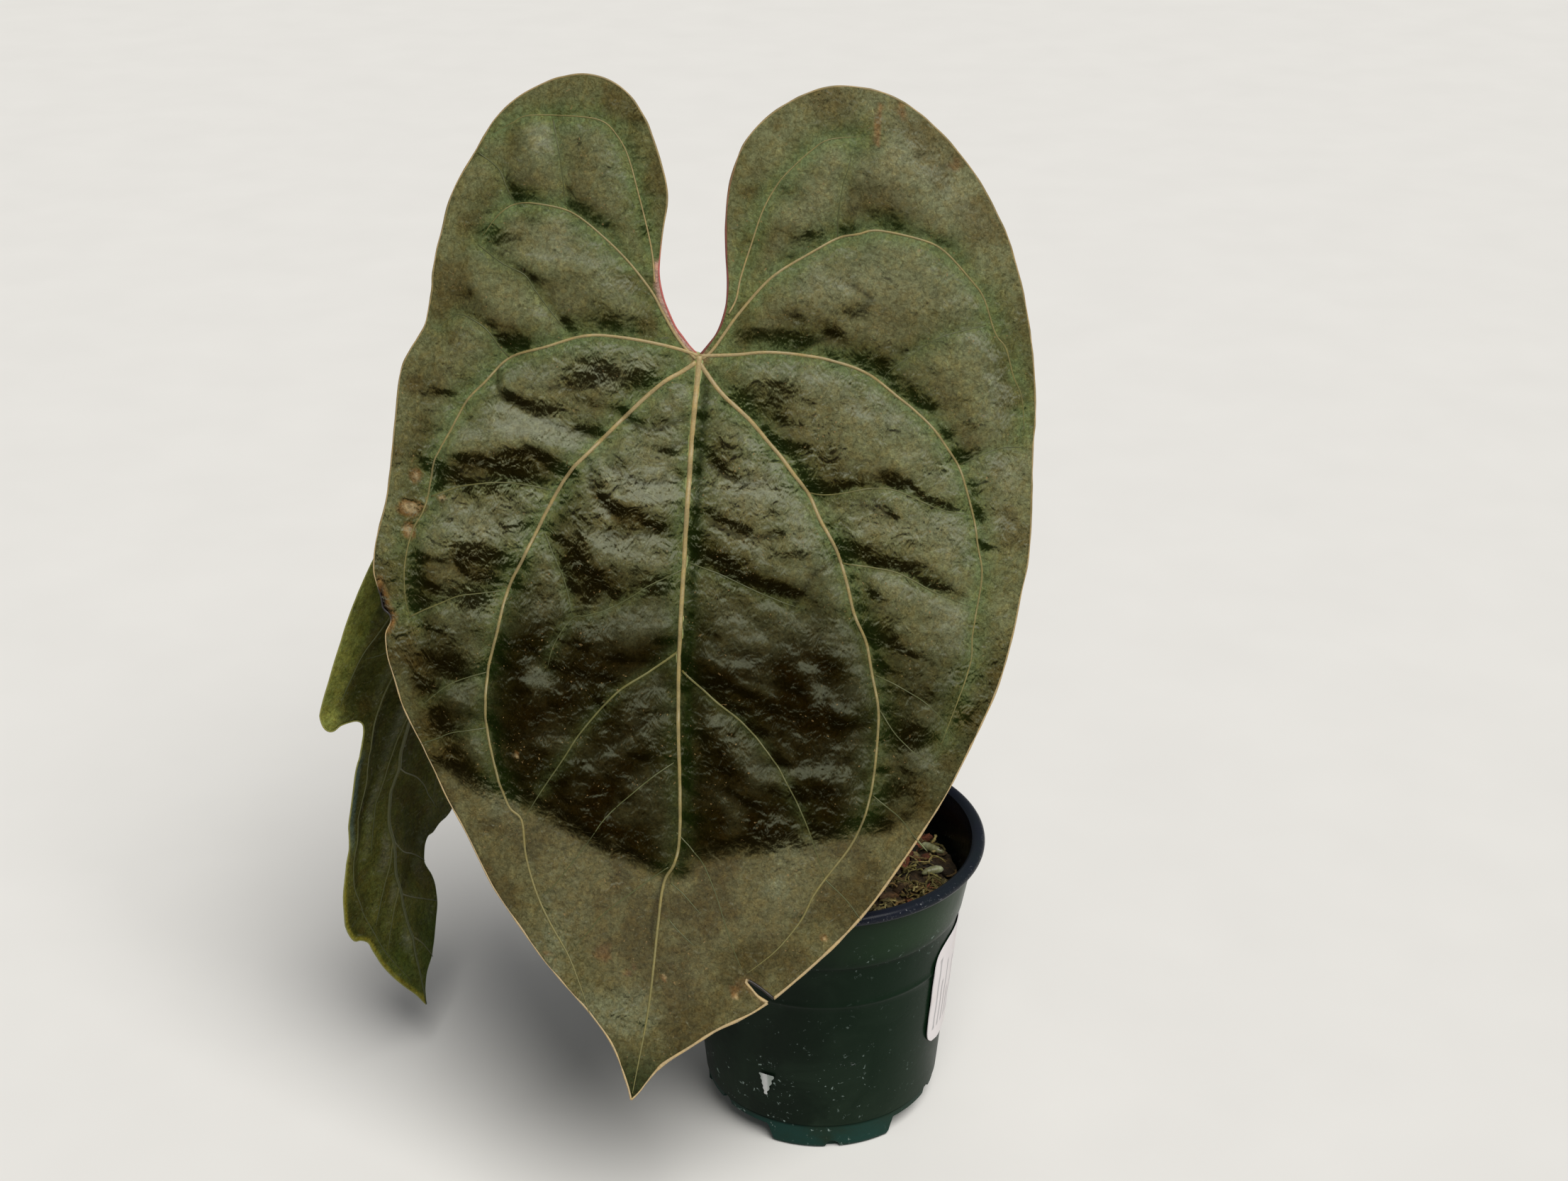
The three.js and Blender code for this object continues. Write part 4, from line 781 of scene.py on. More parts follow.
def front_blade():
    corners = [TIP, TEAR[-1], TEAR[0], MIDRIB[0]]
    blade = Blade(FRONT_OUTLINE, corners, place_front, FRONT_STEP, FRONT_THICKNESS)
    main = blade.near([MIDRIB, *MAIN], 3.2)
    cross = blade.near(CROSS, 3.2)
    fine = blade.near(FINE_VEINS, 4)
    groove = blade.near(GROOVES, 3)
    S, T, margin = blade.S, blade.T, blade.margin
    low = smooth(-4, 4, T - np.interp(S, *TIP_EDGE) + 1.2 * blade.noise(5, 12))
    relief = (0.4 + 0.6 * smooth(2, 17, margin)) * (1 - 0.86 * low)
    busy = relief * (0.3 + 0.7 * smooth(-20, 30, T)) * smooth(3, 16, margin)
    height = relief * (3.4 * (1 - np.exp(-main / 5.5)) + 2.1 * (1 - np.exp(-cross / 3.8)))
    for line, rise, wide in FOLDS:
        height += relief * rise * bell(blade.near([line], 3), wide)
    height += busy * 1.1 * (1 - np.exp(-blade.quilt(8, 13, 1.9) / 2.2))
    height += busy * 0.45 * (1 - np.exp(-blade.quilt(4.2, 14, 1.4) / 1.1))
    lumps = 0.8 * blade.noise(13, 3, 1.8) + 0.5 * blade.noise(6, 4, 1.7) + 0.2 * blade.noise(3.4, 16, 1.5)
    height += relief * lumps
    height -= (0.2 + 0.8 * relief) * 1.1 * bell(groove, 1.8)
    height -= 0.25 * bell(fine, 1.5)
    height += 0.22 * blade.noise(3, 5) * (0.35 + 0.65 * relief) + 0.9 * blade.noise(45, 6) * smooth(0, 25, margin)
    height += 0.5 * low * blade.noise(16, 15)
    height = blur(height, 0.7)

    # The photo's light, which falls along the slopes of the relief.
    slopes = []
    for soft in (0.7, 3.2):
        down, right = np.gradient(blur(height, soft), blade.step)
        slope = 0.85 * down - 0.5 * right
        slopes.append(slope / slope[margin > 4].std() * (0.65 + 0.35 * smooth(-30, 40, T)))
    lit = slopes[0] + 0.15 * blade.noise(4, 11)
    s, t = blade.points.T
    at = blade.at
    # Painted highlight on slopes that face the light and painted shade on slopes that face away, from fine and coarse
    # relief
    painted_highlight, shade = at(smooth(0.2, 1.8, lit)), at(smooth(0.3, 2.1, -lit))
    swell, painted_shade_slope = at(smooth(-0.2, 1.8, slopes[1])), at(smooth(-0.2, 1.8, -slopes[1]))
    m, c, g, edge, tip = at(main), at(cross), at(groove), at(margin), at(low)
    patchy, cloud, speck = at(blade.noise(7, 21)), at(blade.noise(22, 22)), at(blade.noise(2.4, 23))
    left_side, right_side = (np.interp(t, *np.array(MAIN[k]).T[::-1]) for k in (0, 1))
    inner = smooth(-2, 2, s - left_side) * smooth(-2, 2, right_side - s) * smooth(0, 10, t)
    outer = smooth(15, 8, edge)
    sides = np.where(s < 0, 0.85 - 0.35 * outer, 0.75 - 0.15 * outer)
    # Painted shade over the dark zone of the blade, from the middle down to the tip edge
    deep = inner * 0.98 * smooth(38, 98, t) + (1 - inner) * sides * smooth(52, 112, t)
    deep = np.clip(deep + 0.15 * patchy * smooth(30, 60, t), 0, 1) * (1 - tip)
    # Painted shade: the listed patches, joined below with the shade side of the slopes
    dusk = np.max([w * np.exp(-(((s - a) / rs) ** 2) - ((t - b) / rt) ** 2) for a, b, rs, rt, w in DUSK], 0)
    dusk = smooth(0.05, 0.95, dusk * (1 + 0.35 * patchy + 0.2 * speck) - 0.25 * painted_highlight)
    shine = np.max([np.exp(-(((s - a) ** 2 + (t - b) ** 2) / (1.5 * r) ** 2)) for a, b, r in SHINE], 0)
    shine = smooth(0.05, 0.8, shine * (1 + 0.4 * patchy))
    painted_sheen = np.maximum(painted_highlight * (0.62 + 0.38 * shine), 0.6 * shine * swell) * smooth(0.8, 3.5, np.minimum(m, c + 1.5))
    gloom = np.maximum(shade * (1 - 0.5 * tip), 0.95 * dusk)
    scarred = 1 - np.max([smooth(1.6, 1.2, np.hypot((s - a) / b, (t - c) / d)) for a, c, b, d in SPOTS], 0)

    # Painted shade in a strip just right of the midrib
    painted_shade_beside_rib = bell(s - np.interp(t, *np.array(MIDRIB).T[::-1]) - 2.9, 1.5) * smooth(3, 9, t)
    rib_glow = (0.7 - 0.55 * deep) * bell(m, 3.6) + (0.3 - 0.15 * deep) * bell(c, 2.2)
    rib_green = (0.62 - 0.5 * deep) * bell(np.minimum(m, c + 4), 9) * smooth(-0.9, 0.5, patchy + 0.5 * cloud)
    coats = [
        ((106, 101, 64), smooth(-0.2, 0.7, cloud) * 0.5),
        ((138, 140, 106), smooth(0, 40, s) * smooth(10, -50, t) * 0.6),
        # Painted shade and painted highlight along the coarse slopes
        ((80, 71, 36), painted_shade_slope * 0.9),
        ((138, 142, 114), swell * 0.5),
        # Painted shade over the dark zone
        ((30, 22, 4), deep * (1 - 0.15 * swell)),
        ((84, 98, 56), rib_green),
        ((112, 130, 84), rib_glow),
        ((92, 80, 46), outer * smooth(-0.1, 0.6, patchy) * 0.55),
        ((108, 104, 70), tip * 0.95),
        # Painted sheen in patches on the tip
        ((126, 130, 100), tip * smooth(0, 0.7, cloud + 0.5 * patchy) * 0.6),
        ((74, 64, 34), tip * smooth(0.0, 0.8, -cloud + 0.7 * patchy + 0.2 * speck) * 0.6),
        # Painted shade in the grooves
        ((28, 22, 7), bell(g, 0.8) * 0.6),
        ((30, 44, 14), painted_shade_beside_rib * smooth(160, 120, t) * 0.75),
        ((38, 52, 24), smooth(207, 222, t) * 0.8),
    ]
    for cs, ct, ws, wt in SPOTS:
        far = np.hypot((s - cs) / ws, (t - ct) / wt) + 0.3 * speck
        coats += [((128, 94, 54), smooth(1.5, 0.95, far) * 0.85), ((176, 158, 120), smooth(0.95, 0.5, far))]
    for cs, ct, reach in RUST:
        near = smooth(reach, reach * 0.5, np.hypot(s - cs, t - ct))
        coats.append(((126, 94, 62), smooth(0.1, 0.4, speck + 0.3 * patchy) * near * 0.5))
    for line, share in CRACKS:
        coats.append(((150, 116, 78), smooth(1.1, 0.3, blade.reach(line)) * share))
    burn = np.hypot(s - BURN[0], (t - BURN[1]) * 0.45)
    coats += [
        ((146, 108, 64), smooth(5.0, 3.4, burn) * smooth(3.2, 0.6, edge)),
        ((16, 12, 12), smooth(3.6, 2.4, burn) * smooth(1.9, 0.7, edge)),
        ((128, 106, 72), smooth(2.2, 0.8, blade.reach(TEAR_SCAR) + 0.8 * speck) * 0.6),
        ((208, 168, 158), smooth(1.9, 0.8, blade.reach(PINK_EDGE)) * 0.9),
        ((176, 140, 108), bell(np.hypot(s, t - 1), 2.4)),
    ]
    gloss = np.clip(0.24 - 0.3 * gloom - 0.24 * deep, 0, 1) * (1 - 0.4 * outer) + 0.04 * tip
    # How strong the painted emboss of light and shade is over the blade
    painted_emboss = (0.42 + 0.4 * smooth(-10, 50, t)) * (1 - 0.4 * tip) * (1 - 0.2 * deep) * (1 + 0.5 * cloud + 0.3 * patchy)
    under = [((78, 86, 44), smooth(-0.2, 0.7, cloud)), ((124, 134, 84), 0.5 * bell(m, 2.5))]
    masks = {
        "gloss": (gloss, 0.25),
        "shade": (gloom * scarred, 0),
        "shine": (painted_sheen * (0.9 - 0.35 * tip), 0),
        "green": (bell(m, 5), 0),
        "deep": (deep, 0),
        # The relief mask sets the strength of the painted emboss of light and shade
        "relief": (np.clip(painted_emboss, 0, 1), 0.2),
    }
    front, back = paint((122, 124, 86), len(s), coats), paint((96, 106, 60), len(s), under)
    blade.build("front_blade", height, front, back, VELVET, "front_blade", ["front_leaf_blade"], masks)
    front_veins(blade)
    front_margin(blade)


def front_veins(blade):
    veins = Heap()
    tan, leaf_green, dim = np.array(srgb(164, 144, 100)), np.array(srgb(112, 108, 56)), np.array(srgb(74, 78, 40))
    blade.lay(veins, MIDRIB, 1.9, 0.6, tan, leaf_green * 0.85)
    for line, (width, end) in zip(MAIN, MAIN_WIDTHS):
        blade.lay(veins, line, width * 0.85, end, tan * 0.9, leaf_green * 0.85)
    for k, line in enumerate(CROSS):
        blade.lay(veins, line, CROSS_WIDTHS.get(k, 0.4), 0.3, leaf_green * 0.85 if k in CROSS_WIDTHS else dim, dim)
    for line in FINE_VEINS:
        blade.lay(veins, line, 0.4, 0.25, dim * 1.1, dim)
    veins.make("front_veins", VEIN, "front_blade")

    ribs = Heap()
    pale = np.array(srgb(150, 158, 104))
    blade.lay(ribs, MIDRIB, 3.4, 1.2, pale, pale, -1, 0.8)
    for line, (width, end) in zip(MAIN, MAIN_WIDTHS):
        blade.lay(ribs, line, width * 1.5, end * 1.4, pale, pale * 0.9, -1, 0.9)
    for line in CROSS + FINE_VEINS:
        blade.lay(ribs, line, 0.9, 0.5, pale * 0.85, pale * 0.7, -1, 0.8)
    ribs.make("front_ribs", VEIN, "front_blade")


def front_margin(blade):
    """The cord along the edge: scorched at the burn, red in the sinus, dark in the tear."""
    cord = Heap()
    for k, run in enumerate(FRONT_OUTLINE):
        line = smooth_line(run, 0.9)
        s, t = line.T
        rng = np.random.default_rng(40 + k)
        wobble = np.interp(np.arange(len(s)), np.arange(0, len(s) + 4, 4), rng.uniform(0, 1, len(s) // 4 + 2))
        coats = [((120, 108, 66), wobble * smooth(120, 40, t))]
        if run is MARGIN_UP:
            coats.append(((24, 18, 16), smooth(7, 4, np.abs(t - 82.5)) * smooth(0, -20, s)))
            coats.append(((170, 88, 84), smooth(-36, -24, t) * smooth(-16, -13.6, s) * (t < 5)))
        if run is MARGIN_DOWN:
            coats.append(((112, 56, 48), smooth(-70, -30, t) * smooth(14, 9, s)))
        if run is TEAR:
            coats.append(((30, 22, 14), (np.arange(len(s)) < len(s) * 0.45) * 1.0))
        colours = paint((170, 148, 108), len(s), coats)
        fat = (0.22 + 0.17 * wobble) * (1 + 0.5 * smooth(130, 170, t) * (s > 0))
        verts, faces = tube(blade.place(s, t, blade.read(blade.height, s, t)), fat, 8)
        cord.add(verts, faces, np.vstack([np.repeat(colours, 8, 0), colours[:1], colours[-1:]]))
    cord.make("front_margin", VEIN, "front_blade")


REAR_MIDRIB = [(0, 1), (0, 20), (1, 53), (-1, 82), (-2, 94), (-1, 119), (0, 142), (0, 168)]
REAR_UP = [(0, 168), (-0.9, 166.4), (-3.4, 161.9), (-7.6, 156.2), (-11.6, 149.9), (-14.9, 143.6), (-16.9, 138.4),
           (-18.2, 134.8), (-19.4, 131.4), (-22.3, 128.9), (-24.8, 127.8), (-26.4, 125), (-27.6, 120.5),
           (-28.3, 114), (-28.2, 107.5), (-27.2, 101), (-26, 93), (-25.6, 84), (-26, 75), (-26.8, 65),
           (-26.5, 57.5), (-24.2, 52.6), (-22.6, 49), (-22.5, 46.4), (-24.6, 44.5), (-28.1, 43.5), (-32, 43),
           (-34.8, 43.6), (-37, 42.9), (-38.4, 40.9), (-38.6, 37.5), (-38, 32.5), (-36.9, 26.6), (-35.7, 20.3),
           (-33.9, 13.1), (-32.2, 7), (-30.2, 0.5), (-27.4, -4.4), (-24.4, -9), (-21.6, -13), (-17, -20.5),
           (-12.5, -25.5), (-9, -25), (-6.2, -20), (-4, -9), (0, 1)]
REAR_DOWN = [(0, 1), (4, -9), (7, -19), (11, -25.5), (15, -26), (22, -19), (28, -9.5), (34, 4), (38, 19), (41.4, 36),
             (43.2, 54), (43.6, 76), (42.4, 98), (40.5, 110), (37, 112.6), (31, 112.2), (26.5, 113.4),
             (22.4, 112.8), (19.4, 116), (17.6, 120), (18.8, 123.6), (20.6, 127.6), (21.1, 132), (19.3, 138),
             (16.2, 144), (13, 148.8), (9, 152.8), (4.4, 157.2), (1.4, 162), (0.6, 165), (0, 168)]
REAR_VEINS = [
    [(0, 3), (-5, 22), (-10, 36), (-15, 44), (-20, 55), (-19, 72), (-23, 102), (-19, 119), (-16, 130),
     (-12, 141), (-5, 155)],
    [(1, 50), (-4, 62), (-9, 80), (-13, 100)],
    [(-2, 100), (-6, 113), (-11, 122), (-15, 128)],
    [(-1, 119), (-6, 128), (-11, 139)],
    [(0, 2), (-8, 4), (-16, 14), (-23, 21), (-28, 30), (-31, 38)],
    [(-5, 22), (-14, 25), (-22, 24)],
    [(0, 3), (8, 20), (16, 42), (22, 66), (25, 88), (26, 100)],
    [(0, 2), (12, 4), (24, 16), (32, 36), (36, 58), (35, 80)],
    [(-1, 72), (6, 78), (15, 85), (22, 95), (28, 104)],
    [(-2, 100), (4, 108), (12, 114), (18, 120)],
    [(-1, 122), (5, 127), (12, 132), (19, 137)],
    [(0, 140), (5, 146), (9, 154)],
]


def rear_blade():
    blade = Blade([REAR_UP, REAR_DOWN], [REAR_UP[0], REAR_DOWN[0]], place_rear, REAR_STEP, REAR_THICKNESS)
    rib = blade.near([REAR_MIDRIB], 3)
    lines = blade.near(REAR_VEINS, 3)
    relief = 0.4 + 0.6 * smooth(0, 10, blade.margin)
    height = -relief * (1.6 * (1 - np.exp(-rib / 5)) + 1.5 * (1 - np.exp(-lines / 4)))
    height += relief * (0.5 * blade.noise(9, 31) + 0.14 * blade.noise(3, 32))
    height = blur(height + 0.9, 1.2)
    s, t = blade.points.T
    at = blade.at
    m, c, edge, cloud, patchy = at(rib), at(lines), at(blade.margin), at(blade.noise(18, 33)), at(blade.noise(5, 34))
    down, right = np.gradient(blur(height, 1.0), blade.step)
    lit = at(0.3 * down + 0.8 * right)
    fold = smooth(-2.5, 2.5, np.interp(t, [-30, 0, 14, 30, 44], [-12, -17, -22, -29, -34]) - s) * smooth(47, 41, t)
    coats = [
        ((34, 34, 12), smooth(-0.2, 0.7, cloud) * 0.6),
        ((78, 84, 48), smooth(0.02, 0.4, lit) * 0.6),
        ((22, 24, 8), smooth(0.02, 0.45, -lit) * 0.75),
        ((70, 58, 30), smooth(0.1, 0.8, patchy) * 0.4),
        # The folded flap: its paler underside, with painted light shining through it
        ((124, 130, 66), fold * 0.9),
        ((66, 76, 28), fold * smooth(0.0, 0.7, patchy + cloud) * 0.6),
        ((52, 78, 32), smooth(126, 150, t) * 0.6),
        ((96, 98, 54), 0.55 * bell(m, 3.5) + 0.35 * bell(c, 2.4)),
        ((134, 130, 52), smooth(1.8, 0.5, edge) * smooth(60, 110, t) * (s < 0)),
        # Painted bluish sheen on a strip along the left edge
        ((88, 112, 112), smooth(3.4, 1.6, edge) * smooth(52, 60, t) * smooth(100, 84, t) * (s < 0) * 0.5),
    ]
    upper = [((38, 42, 18), smooth(-0.3, 0.7, cloud)), ((84, 94, 54), 0.5 * bell(m, 2.5))]
    masks = {
        "gloss": (np.clip(0.06 + 0.4 * smooth(0.05, 0.4, lit), 0, 1), 0.3),
        "shade": (smooth(0.05, 0.7, -lit) * (0.75 - 0.6 * fold), 0),
        "shine": (smooth(0.0, 0.6, lit) * (0.5 - 0.3 * fold), 0),
        "green": (0.6, 0),
        "deep": (0.7, 0),
        # The relief mask sets the strength of the painted emboss of light and shade
        "relief": (0.5, 0.2),
    }
    front, back = paint((90, 94, 46), len(s), coats), paint((56, 66, 32), len(s), upper)
    blade.build("rear_blade", height, front, back, OLD_BLADE, "rear_blade", ["rear_leaf_blade"], masks)
    veins = Heap()
    first, last = np.array(srgb(88, 88, 42)), np.array(srgb(58, 64, 28))
    for side, share, flat in ((1, 1, 0.9), (-1, 0.7, 0.5)):
        for line, width, end in [(REAR_MIDRIB, 2.4, 0.8), *[(v, 0.75, 0.3) for v in REAR_VEINS]]:
            blade.lay(veins, line, width * share, end, first, last, side, flat)
    for run, colour in ((REAR_UP, (122, 122, 58)), (REAR_DOWN, (84, 96, 50))):
        s, t = smooth_line(run, 0.9).T
        verts, faces = tube(blade.place(s, t, blade.read(height, s, t)), 0.26, 8)
        veins.add(verts, faces, srgb(*colour))
    veins.make("rear_veins", VEIN, "rear_blade")


# ---- pot --------------------------------------------------------------------------------
# Scuffs on the front, along the wall and up, with the step of their lines.
SCRATCHES = [([(-21.5, 36.4), (-19.4, 34.4), (-17, 33.8), (-15.4, 35.6)], 0.5), ([(6, 37), (9, 36.4), (12, 36.6)], 1)]
# The stickers: turn round the pot in degrees and height of the middle; the label's half sizes and corner radius.
LABEL_TURN, LABEL_Z, LABEL_HALF_WIDTH, LABEL_HALF_HEIGHT, LABEL_CORNER = 90, 51, 27, 21, 9
SCRAP_TURN, SCRAP_Z = -26, 26
STICKER_GAP = 0.42


def body_radius(z):
    """Radius of the wall between the foot band and the step."""
    return np.interp(z, [FOOT_HEIGHT, STEP_Z], [BASE_RADIUS, BODY_TOP_RADIUS])


def build_pot():
    columns = 288
    degrees = np.arange(columns) * 360 / columns
    inner_lip = RIM_RADIUS - LIP_WIDTH
    band_top = RIM_RADIUS - 3
    lip_z = POT_HEIGHT - LIP_HEIGHT

    ledge = BODY_TOP_RADIUS + STEP_WIDTH
    ledge_z = STEP_Z + 0.8
    lip_profile = [
        (band_top + 0.2, lip_z - 0.1), (band_top + 1.6, lip_z + 0.02), (RIM_RADIUS - 0.6, lip_z + 0.2),
        (RIM_RADIUS, lip_z + 1.2), (RIM_RADIUS - 0.1, POT_HEIGHT - 1.2), (RIM_RADIUS - 1.0, POT_HEIGHT - 0.3),
        (RIM_RADIUS - 2.3, POT_HEIGHT), (inner_lip + 1, POT_HEIGHT - 0.25), (inner_lip, POT_HEIGHT - 1.1),
    ]
    lip = smooth_line(lip_profile, 0.5)
    outer = []
    for z in np.r_[np.linspace(FOOT_HEIGHT, RING_Z - 1.2, 32), RING_Z - 0.5, RING_Z, RING_Z + 0.5,
                   np.linspace(RING_Z + 1.2, STEP_Z - 0.4, 10)]:
        outer.append((body_radius(z) + 0.32 * math.exp(-(((z - RING_Z) / 0.6) ** 2)), z))
    outer += [(BODY_TOP_RADIUS + 0.1, STEP_Z), (ledge - 0.2, STEP_Z + 0.25), (ledge, ledge_z)]
    for z in np.linspace(STEP_Z + 2, lip_z - 0.5, 12):
        outer.append((np.interp(z, [ledge_z, lip_z], [ledge, band_top]), z))
    levels = [STEP_Z, ledge_z, lip_z, POT_HEIGHT]
    bores = [BODY_TOP_RADIUS - WALL, ledge - WALL, band_top - WALL, inner_lip]
    inner = [(np.interp(z, levels, bores), z) for z in (100, 98.4, 95, 90, 84, ledge_z, STEP_Z)]
    inner += [(BASE_RADIUS - WALL, FOOT_HEIGHT), (BASE_RADIUS - WALL - 1, RAISE + WALL), (2, RAISE + WALL)]
    upper = [*outer, *map(tuple, lip), *inner]

    # The openings between the three feet, and a small half-round notch in the middle of each foot and opening.
    offset = (degrees - FOOT_TURN) % 120
    from_middle = np.abs(offset - 60)
    edge = RAISE * smooth(GAP_HALF_ANGLE + 2.6, GAP_HALF_ANGLE - 1.0, from_middle)
    notch = np.zeros(columns)
    for centre in (0, 60, 120):
        arc = np.radians(offset - centre) * FOOT_RADIUS
        notch = np.maximum(notch, np.sqrt(np.clip(2.4**2 - arc**2, 0, None)))
    low = edge + notch
    lower = [(2, 0), (29, 0), (29.4, edge + 0.02), (37.4, edge + 0.02), (37.8, low + 0.04), (38.6, low + 0.05)]
    for share in (0, 0.06, 0.15, 0.3, 0.45, 0.6, 0.75, 0.88, 0.95):
        z = low + 0.3 + (FOOT_HEIGHT - 0.7 - low - 0.3) * share
        radius = FOOT_RADIUS + 0.45 * z / FOOT_HEIGHT - (0.4 if share == 0 else 0)
        lower.append((radius, z))
    lower.append((FOOT_RADIUS + 0.1, FOOT_HEIGHT - 0.45))
    rows = lower + upper
    verts, faces = rings([ring(np.radians(degrees), r, z) for r, z in rows])
    z = verts[:, 2]
    radius = np.hypot(verts[:, 0], verts[:, 1])
    angle = np.degrees(np.arctan2(verts[:, 0], -verts[:, 1]))
    row = np.r_[np.repeat(np.arange(len(rows)), columns), 0, len(rows)]
    lip_first = len(lower) + len(outer) + 1
    # Painted light: the right side of the pot lighter green, most on the band above the step
    painted_lit_side = smooth(-20, 60, angle) * smooth(170, 110, angle)
    coats = [
        ((14, 36, 20), painted_lit_side * 0.7),
        ((36, 58, 34), painted_lit_side * smooth(76, 84, z) * 0.7),
        ((28, 62, 56), smooth(9.6, 8.2, z) * 0.7),
        ((24, 27, 36), (row >= lip_first) * 1.0),
        # Painted shade inside the pot
        ((7, 8, 9), (row >= lip_first + len(lip) + 1) * 1.0),
    ]
    left = smooth(60, -40, angle) * smooth(-150, -70, angle)
    dust = 0.25 + 0.5 * smooth(45, 4, z) + 0.3 * left
    lime = smooth(70, 20, z) * (0.25 + 0.75 * left) + 0.5 * smooth(92, 78, z) * smooth(70, 78, z)
    scratches = [smooth_line(line, step) for line, step in SCRATCHES]
    arc = distance(np.column_stack([np.radians(angle) * radius, z]), scratches)
    scuff = smooth(1.5, 0.4, arc) + 0.55 * smooth(RIM_RADIUS - 1.6, RIM_RADIUS - 0.2, radius) * (row >= lip_first)
    tint = paint((9, 22, 12), len(verts), coats)
    masks = {"dust": dust, "lime": lime, "scuff": scuff}
    make("pot_shell", verts, faces, PLASTIC, "pot_plastic", ["pot"], tint, masks, sharp=38)


def sticker(name, node, turn_deg, middle_z, rows, left, right, thick, columns, tints, curl):
    """A curved sheet stuck on the pot: rows of heights, with left and right ends as functions of height."""
    grid, chart = [], []
    for y in rows:
        for x in np.linspace(left(y), right(y), columns):
            a = math.radians(turn_deg) + x / body_radius(middle_z)
            r = body_radius(middle_z + y) + STICKER_GAP + curl(x, y)
            grid.append((r * math.sin(a), -r * math.cos(a), middle_z + y))
            chart.append((x, y))
    grid, chart = np.array(grid), np.array(chart)
    out = grid * [1, 1, 0]
    out /= np.linalg.norm(out, axis=1)[:, None]
    verts = np.vstack([grid + out * thick, grid])
    size, faces = len(grid), []
    for j in range(len(rows) - 1):
        for i in range(columns - 1):
            a, b = j * columns + i, j * columns + i + 1
            faces.append([a, b, b + columns, a + columns])
            faces.append([a + size, a + columns + size, b + columns + size, b + size])
    index = np.arange(size).reshape(len(rows), columns)
    border = [*index[0], *index[1:, -1], *index[-1, -2::-1], *index[-2:0:-1, 0]]
    for p, q in zip(border, border[1:] + border[:1]):
        faces.append([q, p, p + size, q + size])
    colours = tints(chart[:, 0], chart[:, 1])
    make(name, verts, faces, PAPER, "label_paper", [node], np.vstack([colours, colours]), sharp=50)


def label_half(y):
    """Half width of the round-cornered label at a height from its middle."""
    over = max(0, abs(y) - (LABEL_HALF_HEIGHT - LABEL_CORNER))
    return LABEL_HALF_WIDTH - LABEL_CORNER + math.sqrt(max(0, LABEL_CORNER**2 - over**2))


def label_ink(x, y):
    """Plain grey bars and a frame in the place of the print."""
    line = np.zeros(len(x))
    for k, (start, end) in enumerate([(-15, 15), (-15, 4), (-15, 11), (-15, -2), (-15, 9)]):
        at = -22.5 + 3.1 * k
        line = np.maximum(line, smooth(0.75, 0.35, np.abs(x - at)) * (y > start) * (y < end))
    block = smooth(0.6, 0.2, np.abs(np.abs(x - 10) - 8)) * (np.abs(y) < 13)
    return paint((228, 222, 222), len(x), [((120, 120, 124), np.maximum(line, block) * 0.75)])


def scrap_ink(x, y):
    return paint((196, 198, 196), len(x), [((150, 158, 152), smooth(0.5, 1.5, np.abs(x)))])


def build_stickers():
    high, flank = LABEL_HALF_HEIGHT, LABEL_HALF_HEIGHT - LABEL_CORNER
    rows = np.r_[np.linspace(-high, -flank, 9), np.linspace(-11.5, 11.5, 25), np.linspace(flank, high, 9)]
    sticker("label", "pot_label", LABEL_TURN, LABEL_Z, rows, lambda y: -label_half(y), label_half, 0.3, 72, label_ink,
            lambda x, y: 0.35 * max(0, (abs(x) - 24) / 3) ** 2 + 0.05 * math.sin(y * 0.5 + x * 0.4))
    sticker("scrap", "label_scrap", SCRAP_TURN, SCRAP_Z, np.linspace(-5, 4, 19),
            lambda y: (y + 5) * -0.16 - 0.4 + 0.18 * math.sin(3.1 * y),
            lambda y: (y + 5) * 0.34 + 0.3 + 0.25 * math.sin(2.3 * y + 1),
            0.26, 9, scrap_ink, lambda x, y: 0.3 * max(0, (y - 1) / 3) ** 2)


# ---- potting mix ----------------------------------------------------------------------------
# Bark chips: length, width, thickness, turn in degrees; root tips: length, turn.
CHIPS = [(13, 8, 3.2, 20), (11, 7, 2.6, 75), (15, 9, 3.4, 130), (12, 8, 3, 10), (14, 7, 2.8, 60), (10, 8, 3, 100)]
ROOT_TIPS = [(9, 150), (9, 60), (8, 20)]


def mix_top(x, y):
    """Height of the mix's uneven surface."""
    r = np.hypot(x, y) / MIX_RADIUS
    lumps = 0.9 * np.sin(x / 5.1 + 1) * np.cos(y / 6.3) + 0.6 * np.sin((x - y) / 4)
    return MIX_Z + 3 * (1 - r * r) + lumps * np.minimum(1, 2.2 * (1 - r) + 0.25)


def middle(node):
    """Middle and size of a CAD node's box."""
    low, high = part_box(node)
    return np.array((low + high) / 2) * 1000, np.array(high - low) * 1000


